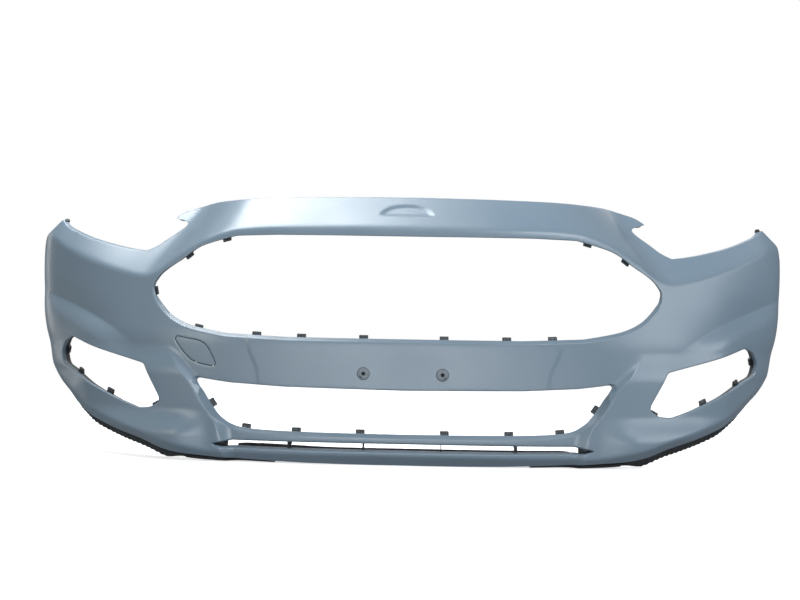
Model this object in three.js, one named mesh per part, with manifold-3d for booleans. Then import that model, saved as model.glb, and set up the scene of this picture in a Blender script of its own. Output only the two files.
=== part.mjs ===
// Front bumper cover of a mid-size saloon, with its tow-eye cap, its lower air
// deflectors, and the rivets, nuts and clips that stay on it when it is off the car.
//
// The skin is described in its own flat frame. s runs along the skin from the
// centre plane, z is the height and d is the depth behind the outer face.
// Every piece is drawn, joined and cut in (s, d, z) and then wrapped onto the
// curved outer face, so that neighbouring pieces keep their gaps.
// Units are millimetres, +Z is up and the front of the car faces -Y.

import * as THREE from 'three';
import { mergeVertices } from 'three/addons/utils/BufferGeometryUtils.js';
import Module from 'manifold-3d';

const wasm = await Module();
wasm.setup();

// ---- driving dimensions ----
const SKIN = 3; // wall thickness of the moulding
const FLAT_HALF = 60; // half width of the flat number-plate pad
const SWEEP_ANGLE = 36; // degrees that the front sweeps back up to the corner
const CORNER_ANGLE = 48; // degrees turned by the corner
const SIDE_ANGLE = 6; // degrees turned by the side behind the corner
const SKIN_REACH = 1262; // length of the skin blank from the centre plane
const BLANK_TOP = 640; // height of the skin blank
const BLANK_BOTTOM = -14;
const ORIGIN_Y = 271.3; // from the plate pad back to the middle of the cover
const FLANGE = 2.6; // thickness of the return flanges
const GRILLE_RETURN = 26; // depth of the return around the upper grille
const INTAKE_RETURN = 30; // depth of the return around the lower grille
const FOG_RETURN = 34; // depth of the return around the fog-lamp openings
const FOG_PULL = 0.8; // 1 would take that return straight back, 0 square to the skin
const SLOT_RETURN = 30; // depth of the return around the lower slot
const LAMP_RETURN = 14; // depth of the return along the headlamp edge
const TOP_RETURN = 34; // depth of the flange on the slam panel
const ARCH_RETURN = 24; // depth of the wheel-arch flange
const SOLE_RETURN = 40; // depth of the flange under the chin
const FLOOR_DEPTH = 105; // depth of the floor behind the lower slot
const CAP_GAP = 1.3; // gap around the tow-eye cap
const PLATE_HOLE_HALF = 88; // half the distance between the plate grommets
const PLATE_HOLE_Z = 205;
const RIVET_DEPTH = 24; // rivet line behind the outer face
const GAP = 0.4; // clearance between pieces that touch
const PILLAR_WIDTH = 24; // width of the rise beside the lower grille
const BEND = 1e-4; // slight bow that keeps the flat blank from being planar

// ---- smooth functions ----
const rad = (degrees) => degrees * Math.PI / 180;

const clamp = (t) => Math.min(1, Math.max(0, t));

// 0 below 0, 1 above 1, smooth between.
function ease(t) {
  const c = clamp(t);
  return c * c * (3 - 2 * c);
}

// 0 for negative d, d for positive d, rounded over a radius r.
function bevel(d, r) {
  if (d < -r) return 0;
  return d > r ? d : (d + r) ** 2 / (4 * r);
}

// A monotone curve through points (x, y), held level beyond its ends.
function through(points) {
  const n = points.length;
  const step = [];
  for (let i = 0; i < n - 1; i += 1) {
    const [x0, y0] = points[i];
    const [x1, y1] = points[i + 1];
    step.push((y1 - y0) / (x1 - x0));
  }
  const slope = points.map((p, i) => {
    const a = step[Math.max(0, i - 1)];
    const b = step[Math.min(n - 2, i)];
    return a * b <= 0 ? 0 : 2 * a * b / (a + b);
  });
  return (x) => {
    if (x <= points[0][0]) return points[0][1];
    if (x >= points[n - 1][0]) return points[n - 1][1];
    let i = 0;
    while (x > points[i + 1][0]) i += 1;
    const w = points[i + 1][0] - points[i][0];
    const t = (x - points[i][0]) / w;
    const a = (1 + 2 * t) * (1 - t) ** 2 * points[i][1];
    const b = t * (1 - t) ** 2 * w * slope[i];
    const c = t * t * (3 - 2 * t) * points[i + 1][1];
    const e = t * t * (t - 1) * w * slope[i + 1];
    return a + b + c + e;
  };
}

// ---- feature lines of the outer face: height z over s, or s over z ----
const bandLine = through([
  [0, 535], [300, 533], [400, 527], [480, 505], [560, 462], [612, 428], [645, 420],
  [690, 425], [800, 450], [900, 485], [960, 512], [1000, 518], [1040, 522], [1100, 530],
]);
const shoulderLine = through([
  [560, 236], [590, 243], [650, 264], [735, 300], [803, 325], [874, 347], [1000, 380], [1130, 396],
]);
const chinLine = through([
  [0, 22], [430, 22], [500, 34], [560, 48], [610, 64], [702, 86], [775, 106],
  [841, 132], [925, 165], [1000, 190], [1200, 240],
]);
const pillarLine = through([
  [0, 400], [60, 410], [95, 424], [122, 446], [141, 460], [180, 488], [208, 516], [262, 556],
]);
// Outer edge of the level middle of the crossbar.
const padLine = through([[100, 300], [172, 320], [205, 324], [256, 345], [274, 350], [300, 356]]);

// ---- the outer face ----

// Direction of the front view curve, in radians from +X, at s.
function heading(s) {
  const sweep = rad(SWEEP_ANGLE) * ease((s - FLAT_HALF) / 860);
  const corner = rad(CORNER_ANGLE) * ease((s - 930) / 150);
  const side = rad(SIDE_ANGLE) * ease((s - 1080) / 120);
  return sweep + corner + side;
}

// Points of the plan curve every millimetre.
function planPoints() {
  const points = [[0, 0]];
  for (let s = 1; s <= 1400; s += 1) {
    const angle = heading(s - 0.5);
    const [x, y] = points[s - 1];
    points.push([x + Math.cos(angle), y + Math.sin(angle)]);
  }
  return points;
}
const PLAN = planPoints();

// The crease under the shoulder, u above it: the face rolls in towards the line,
// then a ledge runs out below it.
function crease(u) {
  const below = 1 - clamp(bevel(-u, 3) / 46);
  return 19 * (1 - below ** 2) - 5 * (1 - clamp(u / 70)) ** 2;
}

// How far the outer face stands in front of the plan curve at (s, z).
function relief(s, z) {
  const a = Math.abs(s);
  const lean = 0.29 - 0.07 * ease(a / 600) - 0.17 * ease((a - 600) / 350);
  let out = -lean * bevel(z - 280, 20);
  out -= (1 - 0.35 * ease((a - 700) / 300)) * bevel(z - bandLine(a), 8);
  out -= ease((a - 760) / 220) * (0.1 * bevel(440 - z, 50) + 0.2 * bevel(300 - z, 40));
  const pod = ease((a - 640) / 160) * (1 - ease((a - 900) / 160));
  out += pod * crease(z - shoulderLine(a)) * (1 - 0.6 * ease((200 - z) / 120));
  const rise = clamp((a - pillarLine(z)) / PILLAR_WIDTH + 1);
  const pillar = rise * (0.4 + 0.6 * rise) * ease((262 - z) / 70);
  out += 16 * pillar * (1 - 0.5 * ease((a - 700) / 200));
  const past = a - padLine(z);
  out -= 1.5 * ease(past / 8) * (1 - ease(past / 110)) * ease((300 - z) / 15) * ease((z - 120) / 40);
  out += 9 * ease((a - 790) / 90) * ease((192 - z) / 55);
  const flare = ease((a - 430) / 90) * (1 - ease((a - 640) / 200));
  out += 20 * flare * ease((118 - z) / 62);
  out -= (0.9 - 0.55 * ease((a - 700) / 150)) * bevel(chinLine(a) - z, 5);
  const oval = (a / 64) ** 2 + ((z - 566) / 27) ** 2;
  if (z > 566) out -= 5 * ease((1 - oval) / 0.4);
  return out;
}

// Wraps (s, d, z) onto the curved outer face.
function wrap(s, d, z) {
  const a = Math.abs(s);
  const i = Math.min(PLAN.length - 2, Math.floor(a));
  const t = a - i;
  const x = PLAN[i][0] * (1 - t) + PLAN[i + 1][0] * t;
  const y = PLAN[i][1] * (1 - t) + PLAN[i + 1][1] * t;
  const angle = heading(a);
  const out = relief(s, z) - d;
  const side = s < 0 ? -1 : 1;
  return [side * (x + out * Math.sin(angle)), y - out * Math.cos(angle) - ORIGIN_Y, z];
}

// ---- solids in the flat frame, x = s, y = d, z = z ----

// Replaces each vertex of a geometry by move(x, y, z).
function reshape(geometry, move) {
  const p = geometry.attributes.position;
  for (let i = 0; i < p.count; i += 1) {
    p.setXYZ(i, ...move(p.getX(i), p.getY(i), p.getZ(i)));
  }
  return geometry;
}

// Six times the volume inside a triangle list: negative when it is inside out.
function signedVolume(vertices, triangles) {
  const at = (i) => new THREE.Vector3().fromArray(vertices, 3 * i);
  let sum = 0;
  for (let t = 0; t < triangles.length; t += 3) {
    const [a, b, c] = [at(triangles[t]), at(triangles[t + 1]), at(triangles[t + 2])];
    sum += a.dot(b.cross(c));
  }
  return sum;
}

// Turns a closed geometry into a manifold solid with its faces pointing out.
function manifoldOf(geometry) {
  geometry.deleteAttribute('normal');
  geometry.deleteAttribute('uv');
  const merged = mergeVertices(geometry, 1e-3);
  const vertProperties = new Float32Array(merged.attributes.position.array);
  const used = [];
  const index = merged.index.array;
  for (let t = 0; t < index.length; t += 3) {
    const [a, b, c] = [index[t], index[t + 1], index[t + 2]];
    if (a !== b && b !== c && a !== c) used.push(a, b, c);
  }
  const triVerts = new Uint32Array(used);
  if (signedVolume(vertProperties, triVerts) < 0) triVerts.reverse();
  return new wasm.Manifold(new wasm.Mesh({ numProp: 3, vertProperties, triVerts }));
}

// A solid drawn in (s, d, z), bowed with the blank.
function flatSolid(geometry) {
  return manifoldOf(reshape(geometry, (s, d, z) => [s, d + BEND * (s * s + z * z), z]));
}

// A straight prism through the whole blank over an outline of (s, z) points.
function punch(outline) {
  const shape = new THREE.Shape(outline.map(([s, z]) => new THREE.Vector2(s, z)));
  const prism = new THREE.ExtrudeGeometry(shape, { depth: 600, bevelEnabled: false });
  return manifoldOf(reshape(prism, (s, z, depth) => [s, depth - 100, z]));
}

// A block between two corners (s, d, z), divided along s so that it can wrap.
function block(s0, s1, d0, d1, z0, z1, pieces = 1) {
  const box = new THREE.BoxGeometry(s1 - s0, d1 - d0, z1 - z0, pieces, 1, 1);
  box.translate((s0 + s1) / 2, (d0 + d1) / 2, (z0 + z1) / 2);
  return flatSolid(box);
}

// Unit directions along a path of (s, z) points and to the left of it, with the
// left one lengthened at bends so that an offset path keeps its distance.
function frames(path, closed) {
  const n = path.length;
  const unit = (a, b) => new THREE.Vector2(b[0] - a[0], b[1] - a[1]).normalize();
  return path.map((p, i) => {
    const before = closed || i > 0 ? unit(path[(i + n - 1) % n], p) : unit(p, path[i + 1]);
    const after = closed || i < n - 1 ? unit(p, path[(i + 1) % n]) : before;
    const along = before.clone().add(after).normalize();
    const stretch = 1 / Math.max(0.5, along.dot(before));
    return { along, left: new THREE.Vector2(-along.y * stretch, along.x * stretch) };
  });
}

// Moves a path of (s, z) points to its left by a distance.
function offset(path, distance, closed = true) {
  const frame = frames(path, closed);
  return path.map(([s, z], i) => {
    const { left } = frame[i];
    return [s + left.x * distance, z + left.y * distance];
  });
}

// A bar along an open path. Its section is a list of (left, depth) points, and
// reach(left, point) may change how far left they lie from place to place.
function bar(path, section, reach = (l) => l) {
  const shape = new THREE.Shape(section.map(([l, d]) => new THREE.Vector2(l, d)));
  const steps = path.length - 1;
  const frame = frames(path, false);
  const geometry = new THREE.ExtrudeGeometry(shape, { depth: steps, steps, bevelEnabled: false });
  return flatSolid(reshape(geometry, (l, d, k) => {
    const i = Math.round(k);
    const out = reach(l, path[i]);
    return [path[i][0] + frame[i].left.x * out, d, path[i][1] + frame[i].left.y * out];
  }));
}

// How far along s a wall at depth d moves to run straight back instead of
// square to the skin. pull is 1 for straight back and 0 for square.
function draw(s, d, pull) {
  return Math.sign(s) * d * pull * Math.tan(heading(Math.abs(s)));
}

// A ring around a closed path. sectionAt(i) lists the (left, depth) points at
// path point i, the same number of them at each. pull is as in draw().
function ring(path, pull, sectionAt) {
  const around = path.length;
  const sides = sectionAt(0).length;
  const frame = frames(path, true);
  const geometry = new THREE.TorusGeometry(1, 0.3, sides, around);
  const p = geometry.attributes.position;
  for (let j = 0; j <= sides; j += 1) {
    for (let i = 0; i <= around; i += 1) {
      const k = i % around;
      const [l, d] = sectionAt(k)[j % sides];
      const s = path[k][0] + frame[k].left.x * l + draw(path[k][0], d, pull);
      p.setXYZ(j * (around + 1) + i, s, d, path[k][1] + frame[k].left.y * l);
    }
  }
  return flatSolid(geometry);
}

// ---- outlines in (s, z) ----

// Points of a smooth curve through knots, count spans between two knots.
function curve(knots, count = 3) {
  const spline = new THREE.SplineCurve(knots.map(([s, z]) => new THREE.Vector2(s, z)));
  return spline.getPoints((knots.length - 1) * count).map((p) => [p.x, p.y]);
}

const mirrored = (path) => path.map(([s, z]) => [-s, z]).reverse();

// Closes a right-hand half path, which runs from the centre plane back to it.
function bothSides(half) {
  return half.concat(mirrored(half).slice(1, -1));
}

const TOP_EDGE = [[0, 612], [FLAT_HALF, 612], ...curve([
  [195, 609.5], [358, 605.5], [490, 601.5], [590, 601], [626, 599], [680, 583], [699, 564],
], 2)];
const LAMP_EDGE = [
  ...curve([[672, 558], [650, 552], [645, 540], [666, 512], [678, 493], [698, 478]], 2),
  ...curve([[740, 483], [789, 492], [860, 510], [923, 533], [948, 545.5], [970, 557]], 2),
];
// Underside of the pointed end of the top panel.
const TIP = [[692, 562.2], [672, 558], [658, 554.3]];
const SEAM = curve([[987, 534], [1012, 506], [1040, 481], [1130, 457], [1235, 440]], 1);
const ARCH = curve([[1235, 440], [1172, 384], [1128, 300], [1104, 218]], 4);
const SOLE = [...curve([
  [1104, 218], [1000, 180], [930, 147], [880, 121], [830, 101], [779, 84], [715, 66],
  [612, 42], [543, 21], [441, 11], [330, 5],
], 2), [220, 1.6], [122, 0.2], [FLAT_HALF, 0]];

// The trimmed edge of the cover, clockwise from the middle of its top.
const TRIM = bothSides([...TOP_EDGE, ...LAMP_EDGE, ...SEAM, ...ARCH.slice(1), ...SOLE.slice(1), [0, 0]]);

const GRILLE = bothSides([
  [0, 514.5], [160, 514.5], [300, 514],
  ...curve([[402, 511], [490, 487], [540, 456], [592, 424], [614, 396]], 2),
  ...curve([[606, 375], [580, 350], [546, 325], [494, 305], [406, 289]], 2),
  [267, 283.5], [122, 283], [0, 283],
]);

const INTAKE = bothSides([
  [0, 168.5], [122, 170], [267, 172], [394, 178], [468, 186.5], [473, 182],
  ...curve([[454, 156], [430, 122], [405, 96], [370, 80], [284, 73.5], [122, 71.5]], 2),
  [0, 71],
]);

const FOG = [
  ...curve([[609, 214], [735, 240], [852, 268]], 2),
  ...curve([[890, 256], [911, 230], [905, 203]], 2),
  ...curve([[850, 190], [792, 173], [726, 149], [670, 128], [615, 113]], 1),
  ...curve([[585, 116], [564, 128], [562, 138]], 1),
];

const SLOT = bothSides([[0, 49.5], [200, 49.5], [385, 49], [426, 40.5], [404, 34.5], [200, 33.5], [0, 33]]);

const CAP = [
  ...curve([[532, 274], [520, 258], [505, 241], [488, 227]], 1),
  ...curve([[469, 220], [442, 215.5], [430, 215], [427.5, 219]], 1),
  ...curve([[438, 240], [451, 259], [469, 269.5], [500, 274.5], [527, 279]], 2),
];

// ---- materials ----
const paint = (color, roughness, metalness) => (
  new THREE.MeshStandardMaterial({ color, roughness, metalness })
);
const primer = () => paint(0x7f92a3, 0.5, 0.0);
const blackPlastic = () => paint(0x1c1d1f, 0.75, 0.0);
const nylon = () => paint(0x8b9299, 0.6, 0.0);
const springSteel = () => paint(0x4a4c50, 0.45, 0.9);

const model = new THREE.Group();

// Wraps a flat solid onto the outer face and adds it as a named mesh.
function addPiece(name, solid, material) {
  const { vertProperties, triVerts } = solid.getMesh();
  const geometry = new THREE.BufferGeometry();
  geometry.setAttribute('position', new THREE.BufferAttribute(new Float32Array(vertProperties), 3));
  geometry.setIndex(new THREE.BufferAttribute(new Uint32Array(triVerts), 1));
  reshape(geometry, (s, d, z) => wrap(s, d - BEND * (s * s + z * z), z));
  geometry.computeVertexNormals();
  const mesh = new THREE.Mesh(geometry, material);
  mesh.name = name;
  model.add(mesh);
}

// ---- skin blank ----

// Column positions of the blank: wide over the level middle, close over the
// pillar beside the grille, then even to the rear edge.
function columns() {
  const right = [0, 30, FLAT_HALF];
  [[400, 4], [700, 10], [SKIN_REACH, 11]].forEach(([end, count]) => {
    const start = right[right.length - 1];
    for (let i = 1; i <= count; i += 1) right.push(start + (end - start) * i / count);
  });
  return [...right.slice(1).reverse().map((s) => -s), ...right];
}

// Row heights at s. Rows follow the chin, shoulder and band lines.
function rows(s) {
  const a = Math.abs(s);
  const shoulder = shoulderLine(Math.max(a, 640));
  const marks = [BLANK_BOTTOM, chinLine(a), shoulder, Math.min(590, bandLine(a)), BLANK_TOP];
  const counts = [1, 7, 4, 4];
  const heights = [marks[0]];
  counts.forEach((count, k) => {
    for (let i = 1; i <= count; i += 1) {
      heights.push(marks[k] + (marks[k + 1] - marks[k]) * i / count);
    }
  });
  return heights;
}

function skinBlank() {
  const line = columns();
  const across = line.length - 1;
  const up = rows(0).length - 1;
  const box = new THREE.BoxGeometry(1, 1, 1, across, 1, up);
  return flatSolid(reshape(box, (x, y, z) => {
    const s = line[Math.round((x + 0.5) * across)];
    return [s, (y + 0.5) * SKIN, rows(s)[Math.round((z + 0.5) * up)]];
  }));
}

// ---- cover ----

// Section of a return flange: a bevel from the outer face, then a straight wall.
function returnSection(width, depth) {
  const drop = 0.8 * width;
  return [
    [width + 3, 1], [width - 0.1, 0.4], [0, Math.max(0.9, drop)], [0, depth],
    [FLANGE, depth], [FLANGE, drop + 4], [width + 3, 2.4],
  ];
}

// Cuts an opening in the cover and lines it with a return flange. The bevel is
// bevelAt(s, z) wide.
function lineOpening(cover, outline, depth, pull, bevelAt) {
  const width = outline.map(([s, z]) => bevelAt(s, z));
  const frame = frames(outline, true);
  const cut = outline.map(([s, z], i) => {
    const w = width[i] - 0.3;
    return [s + frame[i].left.x * w, z + frame[i].left.y * w];
  });
  const lining = ring(outline, pull, (i) => returnSection(width[i], depth));
  return cover.subtract(punch(cut)).add(lining);
}

// A moulded clip tab that reaches from a return flange into its opening, at the
// outline point nearest (s, z).
function clipTab(outline, s, z, depth, pull, length = 20, reach = z < 300 ? 8.5 : 6) {
  const distance = (p) => Math.hypot(p[0] - s, p[1] - z);
  const frame = frames(outline, true);
  let near = 0;
  outline.forEach((p, i) => {
    if (distance(p) < distance(outline[near])) near = i;
  });
  const ends = [outline[near], outline[(near + 1) % outline.length]];
  const other = outline[(near + outline.length - 1) % outline.length];
  if (distance(other) < distance(ends[1])) ends[1] = other;
  const run = new THREE.Vector2(ends[1][0] - ends[0][0], ends[1][1] - ends[0][1]).normalize();
  const { left } = frame[near];
  const t = (s - ends[0][0]) * run.x + (z - ends[0][1]) * run.y;
  const cs = ends[0][0] + run.x * t;
  const cz = ends[0][1] + run.y * t;
  const box = new THREE.BoxGeometry(length, 11, reach + 1.6);
  box.translate(0, depth - 6.5, (1.6 - reach) / 2);
  const normal = new THREE.Vector2(-run.y, run.x);
  if (normal.dot(left) < 0) normal.negate();
  return flatSolid(reshape(box, (x, y, h) => (
    [cs + run.x * x + normal.x * h + draw(cs, y, pull), y, cz + run.y * x + normal.y * h]
  )));
}

// Section of a flange that runs back from the trimmed edge.
const flangeSection = (depth) => [[-0.3, 1], [-0.3, depth], [-0.3 - FLANGE, depth], [-0.3 - FLANGE, 1]];

// A round pin along the path's left direction, centred on (s, z) at depth d.
// profile lists its (radius, height) points.
function pin(at, profile, segments = 8) {
  const points = profile.map(([r, h]) => new THREE.Vector2(r, h));
  const geometry = new THREE.LatheGeometry(points, segments);
  return flatSolid(reshape(geometry, (x, h, y) => [
    at.s + at.along.x * x + at.left.x * h, at.d + y, at.z + at.along.y * x + at.left.y * h,
  ]));
}

// The place on the right-hand sole at a given s, on the rivet line.
function soleStation(s) {
  const path = SOLE;
  let i = 0;
  while (i < path.length - 2 && path[i + 1][0] > s) i += 1;
  const [s0, z0] = path[i];
  const [s1, z1] = path[i + 1];
  const t = (s - s0) / (s1 - s0);
  const along = new THREE.Vector2(s1 - s0, z1 - z0).normalize();
  const left = new THREE.Vector2(-along.y, along.x);
  return { s, z: z0 + (z1 - z0) * t, d: RIVET_DEPTH, along, left };
}

// The same place on the left-hand side.
function mirrorStation(at) {
  const along = new THREE.Vector2(at.along.x, -at.along.y);
  const left = new THREE.Vector2(-at.left.x, at.left.y);
  return { ...at, s: -at.s, along, left };
}

// Where the rivets of the air deflectors stand along the right-hand sole.
const RIVET_S = [340, 448, 548, 640, 735, 830];

// An open path on the other side of the car, in the same order.
const mirrorSolidPath = (path) => path.map(([s, z]) => [-s, z]);

// Width of the bevel around the upper grille: narrow on top, wide below.
function grilleBevel(s, z) {
  return 2 + 7 * ease((400 - z) / 40);
}

// The same around the lower grille: narrow on top, widest at the sides.
function intakeBevel(s, z) {
  if (z > 160 && Math.abs(s) < 470) return 2;
  return 9 + 4 * ease((z - 90) / 40);
}

// Clip tabs of the two grilles: outline, places and depth of the return.
const TABS = [
  [GRILLE, [[91, 283], [230, 283], [333, 285], [528, 465], [433, 504]], GRILLE_RETURN],
  [INTAKE, [[94, 71], [239, 72], [355, 77], [436, 129]], INTAKE_RETURN],
];
const LEFT_TABS = [[-478, 301], [-605, 383]]; // two more on the upper grille, left side only
const FOG_TABS = [[578, 121], [711, 144], [832, 186], [901, 232]];

function addTabs(cover) {
  let result = cover;
  TABS.forEach(([outline, places, depth]) => {
    places.forEach(([s, z]) => {
      result = result.add(clipTab(outline, s, z, depth, 1));
      result = result.add(clipTab(outline, -s, z, depth, 1));
    });
  });
  LEFT_TABS.forEach(([s, z]) => {
    result = result.add(clipTab(GRILLE, s, z, GRILLE_RETURN, 1));
  });
  return result;
}

// Floor, rear lip and stiffening ribs of the slot below the lower grille.
function addSlot(cover) {
  let result = cover.add(block(-360, 360, 14, FLOOR_DEPTH, 19.3, 21.9, 16));
  result = result.add(block(-404, 404, 1.2, FLOOR_DEPTH, 19.8, 21.7, 16));
  result = result.add(block(-438, 438, 1.4, 62, 19.8, 21.4, 18));
  result = result.add(block(-403, 403, FLOOR_DEPTH - 2.4, FLOOR_DEPTH - 0.2, 20.6, 28, 16));
  [-257, -87, 87, 257].forEach((s) => {
    result = result.add(block(s - 1, s + 1, 12, 60, 20.5, 51.5));
  });
  return result;
}

// Return flanges along the trimmed edge.
function addEdgeFlanges(cover) {
  const top = [...TOP_EDGE.slice(0, 9)];
  const topBoth = [...mirrorSolidPath(top).reverse(), ...top.slice(1)];
  const lamp = LAMP_EDGE.slice(5);
  const sole = SOLE.slice(4, -1);
  const soleBoth = [...sole, ...mirrorSolidPath(sole).reverse()];
  let result = cover.add(bar(topBoth, [[0.25, 0.6], [0.25, TOP_RETURN], [-3, TOP_RETURN], [-3, 0.6]]));
  result = result.add(bar(soleBoth, flangeSection(SOLE_RETURN)));
  [TIP, lamp, ARCH].forEach((path) => {
    const depth = path === ARCH ? ARCH_RETURN : LAMP_RETURN;
    result = result.add(bar(path, flangeSection(depth)));
    result = result.add(bar(mirrorSolidPath(path).reverse(), flangeSection(depth)));
  });
  return result;
}

function soleHoles() {
  const places = RIVET_S.map(soleStation);
  const all = [...places, ...places.map(mirrorStation)];
  return all.map((at) => pin(at, [[0, -12], [4.2, -12], [4.2, 8], [0, 8]], 12));
}

// Fastener holes through the flange on the slam panel.
function topHoles() {
  return [-420, -150, 150, 420].map((s) => {
    const hole = new THREE.CylinderGeometry(4.5, 4.5, 40, 12);
    hole.rotateX(Math.PI / 2).translate(s, TOP_RETURN / 2 + 4, 605);
    return flatSolid(hole);
  });
}

function plateHole(s, radius, d0, d1) {
  const hole = new THREE.CylinderGeometry(radius, radius, d1 - d0, 20);
  hole.translate(s, (d0 + d1) / 2, PLATE_HOLE_Z);
  return flatSolid(hole);
}

function buildCover(blank) {
  let cover = blank.intersect(punch(TRIM));
  cover = lineOpening(cover, GRILLE, GRILLE_RETURN, 1, grilleBevel);
  cover = lineOpening(cover, INTAKE, INTAKE_RETURN, 1, intakeBevel);
  cover = lineOpening(cover, FOG, FOG_RETURN, FOG_PULL, () => 3);
  cover = lineOpening(cover, mirrored(FOG), FOG_RETURN, FOG_PULL, () => 3);
  cover = lineOpening(cover, SLOT, SLOT_RETURN, 1, () => 3);
  cover = addSlot(cover);
  cover = addEdgeFlanges(cover);
  cover = addTabs(cover);
  FOG_TABS.forEach(([s, z]) => {
    cover = cover.add(clipTab(FOG, s, z, FOG_RETURN, FOG_PULL, 18, 8));
    cover = cover.add(clipTab(mirrored(FOG), -s, z, FOG_RETURN, FOG_PULL, 18, 8));
  });
  [...soleHoles(), ...topHoles()].forEach((hole) => {
    cover = cover.subtract(hole);
  });
  [-PLATE_HOLE_HALF, PLATE_HOLE_HALF].forEach((s) => {
    cover = cover.subtract(plateHole(s, 7, -5, 10));
  });
  return cover.subtract(punch(offset(mirrored(CAP), CAP_GAP)));
}

// ---- tow-eye cap ----
function buildCap(blank) {
  let cap = blank.intersect(punch(mirrored(CAP)));
  cap = cap.add(block(-475, -449, 4.4, 6.9, 208, 226));
  cap = cap.add(block(-476, -448, 2, 6.2, 222.5, 227));
  cap = cap.add(block(-506, -486, 2, 11, 261, 263.5));
  return cap.add(block(-505, -487, 8.6, 10.6, 262, 266));
}

// ---- lower air deflectors ----

// Section of a deflector: a flange under the sole and a blade below it.
const DEFLECTOR = [
  [-0.3 + GAP, 3], [-0.3 + GAP, SOLE_RETURN], [2.6 + GAP, SOLE_RETURN], [2.6 + GAP, 7],
  [20, 7], [20, 3],
];

// How far a deflector's blade hangs below the sole at s.
function bladeLength(s) {
  if (s < 495) return 3 + 8 * ease((s - 290) / 190);
  return 9 + 13 * ease((s - 500) / 60) - 10 * ease((s - 700) / 156);
}

// A deflector along the sole between two values of s, right-hand side.
function deflector(s0, s1) {
  const reach = (l, [s]) => (l > 4 ? bladeLength(Math.abs(s)) : l);
  const path = soleStretch(s0, s1);
  return [bar(path, DEFLECTOR, reach), bar(mirrorSolidPath(path).reverse(), DEFLECTOR, reach)];
}

// The stretch of the sole between two values of s, right-hand side.
function soleStretch(s0, s1) {
  const inside = SOLE.filter(([s]) => s > s0 && s < s1);
  const first = soleStation(s1);
  const last = soleStation(s0);
  return [[first.s, first.z], ...inside, [last.s, last.z]];
}

function drill(solid, stations) {
  return stations.reduce(
    (left, at) => left.subtract(pin(at, [[0, -12], [4.2, -12], [4.2, 12], [0, 12]], 12)),
    solid,
  );
}

function addDeflectors() {
  const places = RIVET_S.map(soleStation);
  [['strip', deflector(290, 490), places.slice(0, 2)],
    ['blade', deflector(500, 856), places.slice(2)]].forEach(([name, [right, left], rivets]) => {
    const mirror = rivets.map(mirrorStation);
    addPiece(`air_deflector_${name}_right`, drill(right, rivets), blackPlastic());
    addPiece(`air_deflector_${name}_left`, drill(left, mirror), blackPlastic());
  });
}

// ---- push-in rivets ----
// Height is measured along the path's left direction, down and out of the cover.
const RIVET = [
  [0, 5.4], [4, 5.2], [8.6, 4.1], [8.6, 3.4], [3.7, 3.4], [3.7, -4], [5, -5], [3, -11], [0, -11],
];

function addRivets() {
  const names = ['inner', 'outer', 'front', 'middle', 'corner', 'rear'];
  RIVET_S.forEach((s, i) => {
    const at = soleStation(s);
    addPiece(`deflector_rivet_${names[i]}_right`, pin(at, RIVET), blackPlastic());
    addPiece(`deflector_rivet_${names[i]}_left`, pin(mirrorStation(at), RIVET), blackPlastic());
  });
}

// ---- clips and spring nuts ----

// A folded clip over the free edge of a flange, centred on the middle of path
// segment i. leg is its thickness, wide its length along the path.
function foldedClip(path, i, depth, wide, leg, reach) {
  const [a, b] = [path[i], path[i + 1]];
  const along = new THREE.Vector2(b[0] - a[0], b[1] - a[1]).normalize();
  const left = new THREE.Vector2(-along.y, along.x);
  const upper = -0.3 + GAP;
  const lower = -0.3 - FLANGE - GAP;
  const section = [
    [upper, reach], [upper, depth + GAP], [lower, depth + GAP], [lower, reach],
    [lower - leg, reach], [lower - leg, depth + GAP + leg], [upper + leg, depth + GAP + leg],
    [upper + leg, reach],
  ];
  const shape = new THREE.Shape(section.map(([l, d]) => new THREE.Vector2(l, d)));
  const geometry = new THREE.ExtrudeGeometry(shape, { depth: wide, steps: 3, bevelEnabled: false });
  const [cs, cz] = [(a[0] + b[0]) / 2, (a[1] + b[1]) / 2];
  return flatSolid(reshape(geometry, (l, d, k) => {
    const t = k - wide / 2;
    return [cs + along.x * t + left.x * l, d, cz + along.y * t + left.y * l];
  }));
}

function addClips() {
  ['top', 'middle', 'bottom'].forEach((place, k) => {
    const i = 1 + 4 * k;
    const right = foldedClip(ARCH, i, ARCH_RETURN, 16, 1, 10);
    const mirror = mirrorSolidPath(ARCH).reverse();
    const left = foldedClip(mirror, mirror.length - 2 - i, ARCH_RETURN, 16, 1, 10);
    addPiece(`arch_nut_${place}_right`, right, springSteel());
    addPiece(`arch_nut_${place}_left`, left, springSteel());
  });
  const last = LAMP_EDGE.length - 2;
  const mirror = mirrorSolidPath(LAMP_EDGE).reverse();
  addPiece('wing_clip_right', foldedClip(LAMP_EDGE, last, LAMP_RETURN, 11, 3, 5), blackPlastic());
  addPiece('wing_clip_left', foldedClip(mirror, 0, LAMP_RETURN, 11, 3, 5), blackPlastic());
  const tip = mirrorSolidPath(TIP).reverse();
  addPiece('tip_clip_right', foldedClip(TIP, 0, LAMP_RETURN, 12, 2, 5), blackPlastic());
  addPiece('tip_clip_left', foldedClip(tip, 1, LAMP_RETURN, 12, 2, 5), blackPlastic());
}

// ---- plate grommets ----
function addGrommets() {
  const profile = [
    [0, 9], [3, 9], [3, -1.6], [9, -1.5], [13.6, -0.8], [13.6, -0.35], [6.6, -0.35], [6.6, 12],
    [4.6, 17], [0, 17],
  ];
  [-1, 1].forEach((side) => {
    const points = profile.map(([r, h]) => new THREE.Vector2(r, h));
    const body = new THREE.LatheGeometry(points, 18);
    body.translate(side * PLATE_HOLE_HALF, 0, PLATE_HOLE_Z);
    addPiece(side < 0 ? 'plate_grommet_left' : 'plate_grommet_right', flatSolid(body), nylon());
  });
}

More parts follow.
